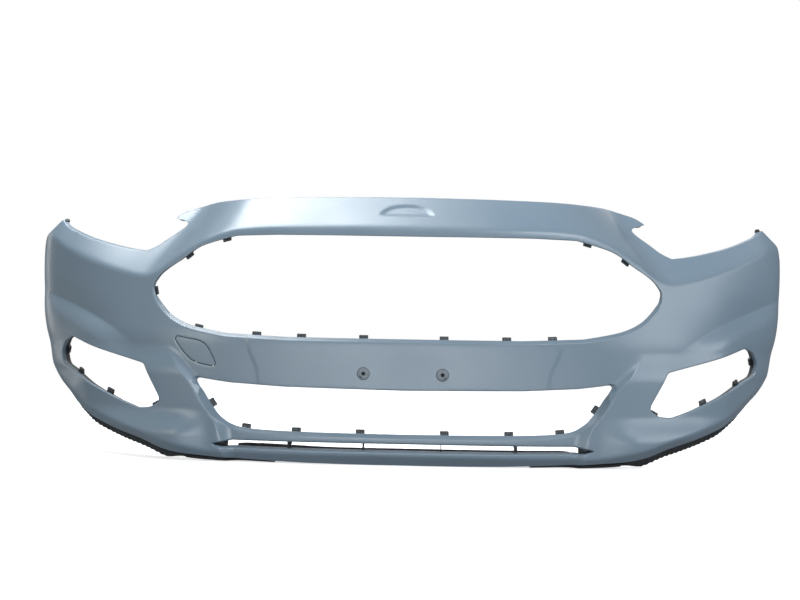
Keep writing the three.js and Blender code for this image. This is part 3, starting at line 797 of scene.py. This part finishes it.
def opening_edges():
    """The rows round every opening of the skin."""
    edges = [
        opening_rows(GRILLE, spread_smoothly(grille_bevel(GRILLE), 20), GRILLE_WALL),
        opening_rows(INTAKE, spread_smoothly(intake_bevel(INTAKE), 3), INTAKE_WALL),
        opening_rows(FOG, FOG_BEVEL, FOG_WALL),
        opening_rows(FOG_LEFT, FOG_BEVEL, FOG_WALL),
    ]
    primed = ease((400 - np.abs(SLOT[:, 0])) / 20) * (SLOT[:, 1] < 37)
    edges.append(opening_rows(SLOT, SLOT_BEVEL, SLOT_WALL, primed))
    hole = moved(CAP, CAP_GAP)
    edges.append(edge_rows(hole, np.where(beside_lug(hole, -492, -424), LUG_COLLAR, COLLAR)))
    for side in (-1, 1):
        plate_hole = circle(side * PLATE_HOLE_HALF, PLATE_HOLE_Z, PLATE_HOLE_RADIUS, 32)
        edges.append(edge_rows(plate_hole, COLLAR))
    return edges


def cover_skin():
    """The outer face, every return wall and the inner face, as one closed skin."""
    build = Build()
    outer, inner = [], []
    for rows, coats in [trim_rows(TRIM)] + opening_edges():
        build.strip([wrap(*row) for row in rows], coats)
        outer.append(np.stack([rows[0][0], rows[0][2]], axis=1))
        inner.append(np.stack([rows[-1][0], rows[-1][2]], axis=1))
    build.sheet(outer, OUTER_STEP, at_depth(0.0), 1.0, feature_lines())
    build.sheet(inner, INNER_STEP, at_depth(SKIN), 0.0)
    return build.object("cover_skin", PRIMER)


place(cover_skin(), "primed_plastic")


# ---- slabs, bars and lathes ----
def slab(build, loops, step, top, bottom, coat_top=0.0, coat_bottom=0.0):
    """A closed sheet between two surfaces. top and bottom turn flat points into places."""
    verts, faces = fill(loops, step)
    build.add(top(verts), faces, coat_top)
    build.add(bottom(verts), faces, coat_bottom)
    for loop in loops:
        build.strip([top(loop), bottom(loop)], [coat_top, coat_bottom])


def soft_edges(obj, width):
    """Rounds the sharp edges of a piece. width is in millimetres."""
    modifier = obj.modifiers.new("soft_edges", "BEVEL")
    modifier.width = width * MM
    modifier.segments = 2
    modifier.limit_method = "ANGLE"
    modifier.angle_limit = math.radians(35)
    modifier.use_clamp_overlap = True
    return obj


def rectangle(s0, s1, z0, z1, step, rounds):
    """A clockwise rectangle of evenly spaced points, its corners rounded."""
    return softened(even([(s0, z1), (s1, z1), (s1, z0), (s0, z0)], step), rounds)


def bar(build, path, section):
    """A bar along an open path. section(i) lists the (left, depth) points at point i."""
    left = lefts(path, closed=False)
    rows = []
    for i, (s, z) in enumerate(path):
        out, d = np.array(section(i), float).T
        rows.append(wrap(s + left[i, 0] * out, d, z + left[i, 1] * out))
    build.prism(rows, 0.0)


def lathe(build, profile, segments, at):
    """Turns (radius, height) points into a body. at(x, h, y) gives its places."""
    turn = np.arange(segments) * 2 * math.pi / segments
    rows = [at(r * np.cos(turn), np.full(segments, h), r * np.sin(turn)) for r, h in profile]
    build.strip(rows, [0.0] * len(rows))


def between(path, s0, s1):
    """The stretch of a path between two values of s, with points at both ends."""
    p = path[np.argsort(path[:, 0])]
    ends = np.interp([s0, s1], p[:, 0], p[:, 1])
    inner = p[(p[:, 0] > s0) & (p[:, 0] < s1)]
    return np.vstack([[s0, ends[0]], inner, [s1, ends[1]]])


def on_side(path, side):
    """An open path, mirrored and in the opposite order where side is -1."""
    return path if side > 0 else path[::-1] * (-1.0, 1.0)


# ---- tow-eye cap ----
CAP_EDGE = 0.8
CAP_BACK = 0.4
LUG_PARTS = (  # s, depth and z of the lug's leaf, root and flap, then the clip leg and its hook
    (-475, -449, 4.4, 6.9, 208, 226), (-476, -448, 2.2, 6.2, 222.5, 227),
    (-480, -436.5, 4.4, 5.2, 210, 220),
    (-506, -486, 2.2, 11, 261, 263.5), (-505, -487, 8.6, 10.6, 262, 266),
)


def tow_eye_cap():
    """The cap itself, a shell as thick as the skin with a rounded edge."""
    build = Build()
    section = [
        (-CAP_EDGE, 0.0, 1), (-0.25, 0.22, 1), (0, 0.8, 0.6), (0, 1.1, 0), (0, 2.6, 0),
        (-CAP_BACK, SKIN, 0),
    ]
    left = lefts(CAP)
    rows = [wrap(*beside(CAP, left, out, d)) for out, d, _ in section]
    build.strip(rows, [coat for _, _, coat in section])
    build.sheet([moved(CAP, -CAP_EDGE)], 2.6, at_depth(0.0), 1.0)
    build.sheet([moved(CAP, -CAP_BACK)], 5, at_depth(SKIN), 0.3)
    return build.object("tow_eye_cap_shell", PRIMER)


def cap_fittings():
    """The hinge lug and the clip leg on the back of the cap."""
    build = Build()
    for s0, s1, d0, d1, z0, z1 in LUG_PARTS:
        slab(build, [rectangle(s0, s1, z0, z1, 2.0, 1)], 3.0, at_depth(d0), at_depth(d1))
    return soft_edges(build.object("tow_eye_cap_lug", BLACK), 0.4)


def cap_stop():
    """The black stop that the cap closes on, open beside the hinge lug."""
    path = moved(CAP, CAP_GAP / 2)
    lug = beside_lug(path, -479, -433)
    path = np.roll(path, -int(np.flatnonzero(lug)[-1]) - 1, 0)
    path = path[:-np.count_nonzero(lug)]
    build = Build()
    bar(build, path, lambda i: [(2.9, 4.4), (2.9, 5.6), (-3.6, 5.6), (-3.6, 4.4)])
    return build.object("tow_eye_cap_stop", BLACK, angle=40)


place(cap_stop(), "black_plastic")
place(tow_eye_cap(), "primed_plastic", "tow_eye_cap", "tow_eye_cap")
place(cap_fittings(), "black_plastic", "tow_eye_cap", "tow_eye_cap")


# ---- what stands behind the skin ----
SOLE_POINTS = np.array(SOLE[::-1], float)
TOP_POINTS = np.array(TOP_EDGE, float)
FLOOR_TOP, FLOOR_BOTTOM = 21.9, 19.3
LIP_TOP = 28.0
RIBS = (-257, -87, 87, 257)
FLANGE_HOLES = (-420, -150, 150, 420)
FLANGE_HOLE_RADIUS = 4.5
WEB_FRONT, WEB_BACK = 40.0, 42.4


def slam_flange():
    """The flange that lies on the slam panel, with its four fastener holes."""
    build = Build()
    outline = rectangle(-590, 590, 1.2, TOP_RETURN, FINE, 1)
    holes = [circle(s, TOP_RETURN / 2 + 4, FLANGE_HOLE_RADIUS, 24) for s in FLANGE_HOLES]

    def raised(rise):
        edge = TOP_POINTS.T
        return lambda p: wrap(p[:, 0], p[:, 1], np.interp(np.abs(p[:, 0]), *edge) + rise)

    slab(build, [outline] + holes, 6, raised(0.24), raised(-3.0), 0.9, 0.1)
    return soft_edges(build.object("slam_panel_flange", PRIMER), 0.5)


def slot_floor():
    """The floor behind the lower slot, with lightening holes near its rear edge."""
    build = Build()
    half = [
        (0, FLOOR_DEPTH), (392, FLOOR_DEPTH), (404, FLOOR_DEPTH - 12), (404, 66), (412, 62),
        (438, 62), (438, 1.6), (0, 1.6),
    ]
    outline = softened(even(both_sides(half), 5), 2)
    holes = [rectangle(s - 26, s + 26, 70, 88, 4, 2) for s in (-344, -172, 0, 172, 344)]
    holes += [circle(s, 96, 4, 20) for s in (-300, -128, 45, 215, 370)]
    slab(build, [outline] + holes, 9, at_height(FLOOR_TOP), at_height(FLOOR_BOTTOM), 0.8)
    return soft_edges(build.object("slot_floor", PRIMER), 0.5)


def slot_lip():
    """The upturned rear edge of the slot's floor, a little taller towards its left end."""
    build = Build()
    outline = rectangle(-404, 404, FLOOR_BOTTOM + 1.3, LIP_TOP, 1.3, 2)

    def raised(d):
        def at(p):
            rise = np.where(p[:, 1] > 24, 4 * ease((-p[:, 0] - 140) / 200), 0.0)
            return wrap(p[:, 0], d, p[:, 1] + rise)

        return at

    # coat 0.22 leaves the lip almost unprimed black: painted shade for the dark line along the rear
    # edge of the slot's floor
    slab(build, [outline], 6, raised(FLOOR_DEPTH - 2.4), raised(FLOOR_DEPTH - 0.2), 0.22, 0.22)
    return soft_edges(build.object("slot_floor_lip", PRIMER), 0.5)


def slot_ends():
    """The webs that close the pointed ends of the slot behind the skin."""
    build = Build()
    outline = softened(even([(404, 53), (440, 53), (440, 20.5), (404, 20.5)], 3), 1)

    def slanted(d):
        return lambda p: wrap(p[:, 0], d - (np.abs(p[:, 0]) - 404) * 0.5, p[:, 1])

    for side in (-1, 1):
        path = (outline * (side, 1))[::side]
        slab(build, [path], 6, slanted(WEB_FRONT), slanted(WEB_BACK))
    return soft_edges(build.object("slot_end_webs", BLACK), 0.5)


def slot_ribs():
    """The upright ribs that tie the slot's two edges together behind it."""
    build = Build()
    notched = [(12, 51.5), (60, 51.5), (60, 44), (46, 36), (60, 28), (60, 20.5), (12, 20.5)]
    outline = softened(even(notched, 2.5), 2)
    for s in RIBS:
        slab(build, [outline], 5, at_side(s - 1), at_side(s + 1))
    return build.object("slot_ribs", BLACK, angle=30)


TABS = (  # outline, its mirror image, wall, then the width, reach and places of the tabs
    (GRILLE, GRILLE, GRILLE_WALL, 20, 7.2, ((91, 283), (230, 283), (333, 285))),
    (GRILLE, GRILLE, GRILLE_WALL, 20, 5.2, ((528, 465), (433, 504))),
    (INTAKE, INTAKE, INTAKE_WALL, 20, 7.2, ((94, 71), (239, 72), (355, 77), (436, 129))),
    (GRILLE, None, GRILLE_WALL, 20, 5.2, ((-478, 301), (-605, 383))),
    (FOG, FOG_LEFT, FOG_WALL, 18, 6.4, ((578, 121), (711, 144), (832, 186), (901, 232))),
)


def clip_tab(build, outline, near, wall, width, reach):
    """A hooked tab from the wall of an opening into it, at the nearest point to near."""
    depth, pull, draft = wall
    i = int(np.argmin(np.hypot(*(outline - near).T)))
    run = outline[(i + 1) % len(outline)] - outline[i - 1]
    run /= np.linalg.norm(run)
    normal = lefts(outline)[i]
    base = 1.6 + draft * depth
    hook = np.array([
        (depth - 12, base), (depth - 12, 3 - reach), (depth - 11.4, 1 - reach),
        (depth - 10.4, -reach), (depth - 3.5, -reach), (depth - 2.4, 0.8 - reach),
        (depth - 2.4, 0.4), (depth - 1, 0.8), (depth - 1, base),
    ])
    d, height = hook.T
    rows = []
    for t in (-0.5, -0.46, -0.2, 0.2, 0.46, 0.5):
        s, z = outline[i] + run * t * width
        h = np.where(height < 0, height * 0.85, height) if abs(t) == 0.5 else height
        rows.append(wrap(s + normal[0] * h + draw(s, d, pull), d, z + normal[1] * h))
    build.prism(rows, np.array([0.3, 0.3, 0.2, 0.1, 0.05, 0.0, 0.0, 0.0, 0.0]))


def clip_tabs():
    """All the tabs, the same on both sides apart from two more at the grille's left end."""
    build = Build()
    for outline, mirror, wall, width, reach, places in TABS:
        for s, z in places:
            clip_tab(build, outline, (s, z), wall, width, reach)
            if mirror is not None:
                clip_tab(build, mirror, (-s, z), wall, width, reach)
    return build.object("clip_tabs", PRIMER, angle=30)


for piece in (slam_flange(), slot_floor(), slot_lip()):
    place(piece, "primed_plastic")
for piece in (slot_ends(), slot_ribs(), clip_tabs()):
    place(piece, "black_plastic")


# ---- lower air deflectors and their rivets ----
STRIP_SPAN = (290, 494.8)
BLADE_SPAN = (495.2, 856)
TOOTH_PITCH = 14.0
TOOTH_DEPTH = 1.8


def sole_path(s0, s1, side):
    """The sole's edge between two values of s, clockwise, on one side of the car."""
    path = even(between(SOLE_POINTS, s0, s1)[::-1], 1.4, closed=False)
    return on_side(path, side)


def blade_length(a):
    """How far a deflector hangs below the sole."""
    if a < BLADE_SPAN[0]:
        return float(3 + 8 * ease((a - 290) / 190))
    return float(9 + 13 * ease((a - 500) / 60) - 10 * ease((a - 700) / 156))


def tooth(a):
    """1 on a tooth of a blade's lower edge, 0 in a notch."""
    return 0.5 + 0.5 * math.tanh(6 * math.sin(2 * math.pi * a / TOOTH_PITCH))


def deflector_section(reach, notch):
    """A recess under the skin's edge, a proud ridge, and a recessed skirt below it."""
    ridge = min(3.4, 0.45 * reach)
    top, under = -0.3 + GAP, 2.6 + GAP
    skirt = 4.3 + 0.5 * notch
    end = max(reach, under + 0.8)
    return [
        (top, 6.2), (top, SOLE_RETURN - 0.6), (top + 0.6, SOLE_RETURN),
        (under - 0.6, SOLE_RETURN), (under, SOLE_RETURN - 0.6), (under, 9.0),
        (under + 0.5, 7.6), (max(reach - 0.8, under + 0.6), 7.0), (end, 6.4), (end, skirt + 0.7),
        (max(reach - 0.5, under + 0.4), skirt), (ridge + 2.6, skirt), (ridge + 2.2, 3.0),
        (ridge + 1.7, 2.5), (ridge + 0.4, 2.5), (ridge, 3.0), (ridge - 0.3, 6.2),
    ]


def deflector(name, span, side, toothed):
    """A deflector along the sole; the lower edge of a blade is toothed."""
    path = sole_path(*span, side)

    def section(i):
        a = abs(path[i][0])
        notch = 1 - tooth(a) if toothed else 0.0
        cut = TOOTH_DEPTH * notch * ease((a - 540) / 30)
        return deflector_section(blade_length(a) - cut, notch)

    build = Build()
    bar(build, path, section)
    return build.object(name, BLACK, angle=40)


SIDES = ((1, "right"), (-1, "left"))
for side, word in SIDES:
    for kind, span, toothed in (("strip", STRIP_SPAN, False), ("blade", BLADE_SPAN, True)):
        piece = deflector(f"deflector_{kind}_{word}", span, side, toothed)
        place(piece, "black_plastic", f"air_deflector_{kind}_{word}")

RIVETS = {"inner": 340, "outer": 448, "front": 548, "middle": 640, "corner": 735, "rear": 830}
RIVET = (  # radius and distance out from the sole, from the head to the tip
    (0, 4.4), (2.3, 4.4), (2.5, 4.7), (2.6, 5.1), (3.0, 5.3), (4.6, 5.1), (6.8, 4.6), (8.2, 4.15),
    (8.6, 3.8), (8.3, 3.4), (3.7, 3.4), (3.6, 2), (3.7, -4), (4.6, -4.7), (5.0, -5.3), (4.2, -8),
    (3.1, -10.6), (2.2, -11), (0, -11),
)


def station(s, side):
    """Place and directions on the rivet line of the sole."""
    z = np.interp([s - 3, s, s + 3], SOLE_POINTS[:, 0], SOLE_POINTS[:, 1])
    along = np.array([-6.0, z[0] - z[2]])
    along /= np.linalg.norm(along)
    left = np.array([-along[1], along[0]])
    if side < 0:
        along, left = along * (1, -1), left * (-1, 1)
    return side * s, z[1], along, left


def rivet(name, s, side):
    """A push-in rivet: a domed head, a shank and a splayed tip."""
    s, z, along, left = station(s, side)

    def at(x, h, y):
        across = s + along[0] * x + left[0] * h
        return wrap(across, RIVET_DEPTH + y, z + along[1] * x + left[1] * h)

    build = Build()
    lathe(build, RIVET, 28, at)
    return build.object(name, BLACK, angle=50)


for label, where in RIVETS.items():
    for side, word in SIDES:
        piece = rivet(f"push_rivet_{label}_{word}", where, side)
        place(piece, "black_plastic", f"deflector_rivet_{label}_{word}")


# ---- spring nuts and clips ----
# Each kind: the flange's depth, the clip's width, its leg, where it starts, its material.
NUT = (ARCH_RETURN, 16, 1, 10, STEEL)
WING_CLIP = (LAMP_RETURN, 11, 3, 5, BLACK)
TIP_CLIP = (LAMP_RETURN, 12, 2, 5, BLACK)


def folded_clip(name, path, centre, kind):
    """A folded clip over the free edge of a flange, round a point of an outline."""
    depth, wide, leg, reach, material = kind
    i = int(np.argmin(np.hypot(*(path - centre).T)))
    along = path[i + 1] - path[i - 1]
    along /= np.linalg.norm(along)
    left = np.array([-along[1], along[0]])
    upper, lower = -0.3 + GAP, -0.3 - FLANGE - GAP
    fold = depth + GAP
    section = np.array([
        (upper, reach), (upper, fold - 0.5), (upper - 0.5, fold), (lower + 0.5, fold),
        (lower, fold - 0.5), (lower, reach + 1.5), (lower - 0.6, reach),
        (lower - leg - 0.5, reach), (lower - leg, reach + 1.5), (lower - leg, fold),
        (lower - 0.3 * leg, fold + leg), (upper + 0.3 * leg, fold + leg),
        (upper + leg, fold), (upper + leg, reach + 1), (upper + 0.5 * leg, reach),
    ])
    out = section[:, 0]
    rows = []
    for t in (-0.5, -0.44, -0.2, 0.0, 0.2, 0.44, 0.5):
        s, z = path[i] + along * t * wide
        pinch = 0.8 if abs(t) == 0.5 else 0.0
        d = np.maximum(section[:, 1], reach + pinch)
        rows.append(wrap(s + left[0] * out, d, z + left[1] * out))
    build = Build()
    build.prism(rows, 0.0)
    return build.object(name, material, angle=40)


ARCH_PATH = np.array(ARCH, float)
LAMP_PATH = np.array(LAMP_EDGE, float)
TIP_PATH = even([(692, 562.2), (672, 558), (658, 554.3)], 3, closed=False)
NUTS = {"top": ARCH_PATH[4], "middle": ARCH_PATH[14], "bottom": ARCH_PATH[24]}
for side, word in SIDES:
    arch, lamp, tip = (on_side(path, side) for path in (ARCH_PATH, LAMP_PATH, TIP_PATH))
    for label, centre in NUTS.items():
        piece = folded_clip(f"spring_nut_{label}_{word}", arch, centre * (side, 1), NUT)
        place(piece, "spring_steel", f"arch_nut_{label}_{word}")
    piece = folded_clip(f"wing_hook_{word}", lamp, (side * 964.5, 554.2), WING_CLIP)
    place(piece, "black_plastic", f"wing_clip_{word}")
    piece = folded_clip(f"tip_hook_{word}", tip, (side * 682, 560), TIP_CLIP)
    place(piece, "black_plastic", f"tip_clip_{word}")

# ---- number-plate grommets ----
GROMMET = (  # radius and depth behind the pad, as for the painted shade profile
    (4.2, 3.0), (4.2, -1.1), (4.5, -1.5), (5.4, -1.62), (8.6, -1.5), (11.6, -1.15),
    (12.8, -0.9), (13.2, -0.6), (13.2, -0.4), (6.6, -0.38), (6.6, 12), (5.6, 15), (4.6, 17),
    (0, 17),
)
# painted shade: a thin black ring that shows round the rim of a grommet's head as its shadow line,
# and a black cone that darkens the bore
PAINTED_SHADE_PROFILE = (
    (0, 8), (3.0, 8), (4.15, -0.7), (4.15, -0.36), (14.3, -0.36), (14.3, -0.05),
    (7.2, -0.05), (7.2, -0.3),
)
SLOT_RADIUS = 9.6


def plate_lathe(side, profile):
    """A profile turned about the axis of a plate hole."""
    build = Build()
    centre = side * PLATE_HOLE_HALF
    lathe(build, profile, 48, lambda x, h, y: wrap(centre + x, h, PLATE_HOLE_Z + y))
    return build


def grommet(side, word):
    """A screw grommet: a flat domed head with a bore, and a plug behind it."""
    return plate_lathe(side, GROMMET).object(f"screw_grommet_{word}", NYLON, angle=50)


def painted_shade(side, word):
    """Painted shade round a grommet: a thin black ring under the head's rim for its shadow line, a
    black cone that darkens the bore, and a black arc laid on the head for the pry slot's shade.
    """
    build = plate_lathe(side, PAINTED_SHADE_PROFILE)
    # the pry slot is a black arc laid just proud of the head, as painted shade where a recess would
    # be
    turn = np.radians(np.linspace(200, 262, 15))
    swell = 1.2 * np.sin(np.linspace(0.12, math.pi - 0.12, 15))
    rows = []
    for grow, h in ((-swell, -1.35), (-swell, -1.72), (swell, -1.60), (swell, -1.2)):
        radius = SLOT_RADIUS + grow
        z = PLATE_HOLE_Z + radius * np.sin(turn)
        rows.append(wrap(side * (PLATE_HOLE_HALF - radius * np.cos(turn)), h, z))
    build.strip(rows, [0.0] * 4, closed=False)
    return build.object(f"grommet_washer_{word}", BLACK, angle=50)


for side, word in SIDES:
    place(grommet(side, word), "grey_nylon", f"plate_grommet_{word}")
    place(painted_shade(side, word), "black_plastic", f"plate_grommet_{word}")

# ---- camera, lights and floor, in metres ----
CAMERA = (0.075, -2.9313, 0.370)
YAW, ROLL = 0.0317, -0.0175
COOL = (0.90, 0.95, 1.0)
PALE = (0.94, 0.97, 1.0)
LIGHTS = {  # place, target, size, power and colour
    "top_light": ((-0.80, 0.28, 2.3), (-0.25, -0.1, 0.5), (1.4, 1.1), 52, (0.93, 0.97, 1.0)),
    "key_light": ((1.5, -1.9, 2.7), (0.3, 0, 0.3), (1.8, 1.2), 46, COOL),
    "left_light": ((-2.6, -2.4, 0.8), (-0.3, 0, 0.3), (0.7, 1.0), 13, (0.98, 1.0, 0.92)),
    "right_light": ((3.0, -1.6, 1.1), (0.3, 0, 0.3), (1.3, 1.5), 24, PALE),
    "front_light": ((-0.2, -4.2, 0.35), (0, 0, 0.25), (2.6, 1.0), 33, COOL),
    "low_light": ((0.0, -2.4, 0.06), (0, -0.2, 0.2), (3.2, 0.3), 9, PALE),
    "left_strip": ((-2.5, 0.85, 0.6), (-0.9, 0, 0.3), (0.15, 1.6), 5, (1.0, 0.98, 0.94)),
    "back_light": ((0.5, 3.0, 2.2), (0, 0, 0.3), (3.0, 1.6), 20, (1, 1, 1)),
}
SKY = (0.86, 0.93, 1.0, 1)
SKY_STRENGTH = 0.22
FLOOR_RADIUS, FLOOR_FADE = 3.4, 3.2
FLOOR_GLOW = 0.62
FLOOR_DROP = 0.0005
DOME_RADIUS = 30
WHITE = (1, 1, 1, 1)


def add_camera():
    data = bpy.data.cameras.new("camera")
    data.lens = 54.0
    data.sensor_width = 36.0
    data.clip_start = 0.05
    data.clip_end = 100.0
    camera = add_object("camera", data)
    turn = Matrix.Rotation(YAW, 3, "Z") @ Matrix.Rotation(ROLL, 3, "Y")
    right, ahead, up = turn.col
    aim = Matrix((right, up, -ahead)).transposed()
    camera.matrix_world = Matrix.Translation(CAMERA) @ aim.to_4x4()
    bpy.context.scene.camera = camera


def area_light(name, where, target, size, power, color):
    data = bpy.data.lights.new(name, "AREA")
    data.shape = "RECTANGLE"
    data.size, data.size_y = size
    data.energy = power
    data.color = color
    light = add_object(name, data)
    light.location = where
    light.rotation_mode = "QUATERNION"
    light.rotation_quaternion = (Vector(target) - Vector(where)).to_track_quat("-Z", "Y")
    light.visible_camera = False


def add_lights():
    world = bpy.data.worlds.new("studio")
    world.use_nodes = True
    background = world.node_tree.nodes["Background"]
    background.inputs["Color"].default_value = SKY
    background.inputs["Strength"].default_value = SKY_STRENGTH
    bpy.context.scene.world = world
    for name, light in LIGHTS.items():
        area_light(name, *light)


def pale_floor():
    """A pale floor that glows a little and fades out towards its rim."""
    g = Graph("pale_floor")
    place = g.node("Mapping", Vector=g.place, Scale=[1 / FLOOR_FADE] * 3).outputs["Vector"]
    ball = g.node("TexGradient", Vector=place)
    ball.gradient_type = "SPHERICAL"
    near = g.spread(ball.outputs["Fac"], 0.05, 0.5)
    color = g.mix(g.noise(5.0, 3.0), (0.90, 0.90, 0.90, 1), (0.93, 0.93, 0.93, 1))
    shader = g.node("BsdfPrincipled", Base_Color=color, Roughness=0.8)
    g.put(shader.inputs["Emission Color"], WHITE)
    g.put(shader.inputs["Emission Strength"], FLOOR_GLOW)
    both = g.node("MixShader")
    g.feed(both, 0, near, g.node("BsdfTransparent").outputs[0], shader.outputs[0])
    return g.surface(both.outputs[0])


def white_dome():
    g = Graph("white_dome")
    return g.surface(g.node("Emission", Color=WHITE, Strength=1.0).outputs[0])


def add_stage(name, material, height, make, **shape):
    """A mesh of the stage, out of reach of the rays that light the object."""
    mesh = bpy.data.meshes.new(name)
    bm = bmesh.new()
    make(bm, **shape)
    bm.to_mesh(mesh)
    bm.free()
    mesh.materials.append(material)
    obj = add_object(name, mesh)
    obj.location.z = height
    obj.visible_diffuse = False
    obj.visible_glossy = False
    return obj


def add_floor():
    height = CAD_BOX[0].z - FLOOR_DROP
    disc = {"cap_ends": True, "radius": FLOOR_RADIUS, "segments": 96}
    add_stage("floor", pale_floor(), height, bmesh.ops.create_circle, **disc)


def add_backdrop():
    """A white dome that only the camera sees."""
    ball = {"subdivisions": 4, "radius": DOME_RADIUS}
    dome = add_stage("dome", white_dome(), 0, bmesh.ops.create_icosphere, **ball)
    dome.visible_transmission = False
    dome.visible_shadow = False


add_camera()
add_lights()
add_floor()
add_backdrop()
bpy.context.scene.view_settings.view_transform = "Standard"
bpy.context.scene.view_settings.look = "None"
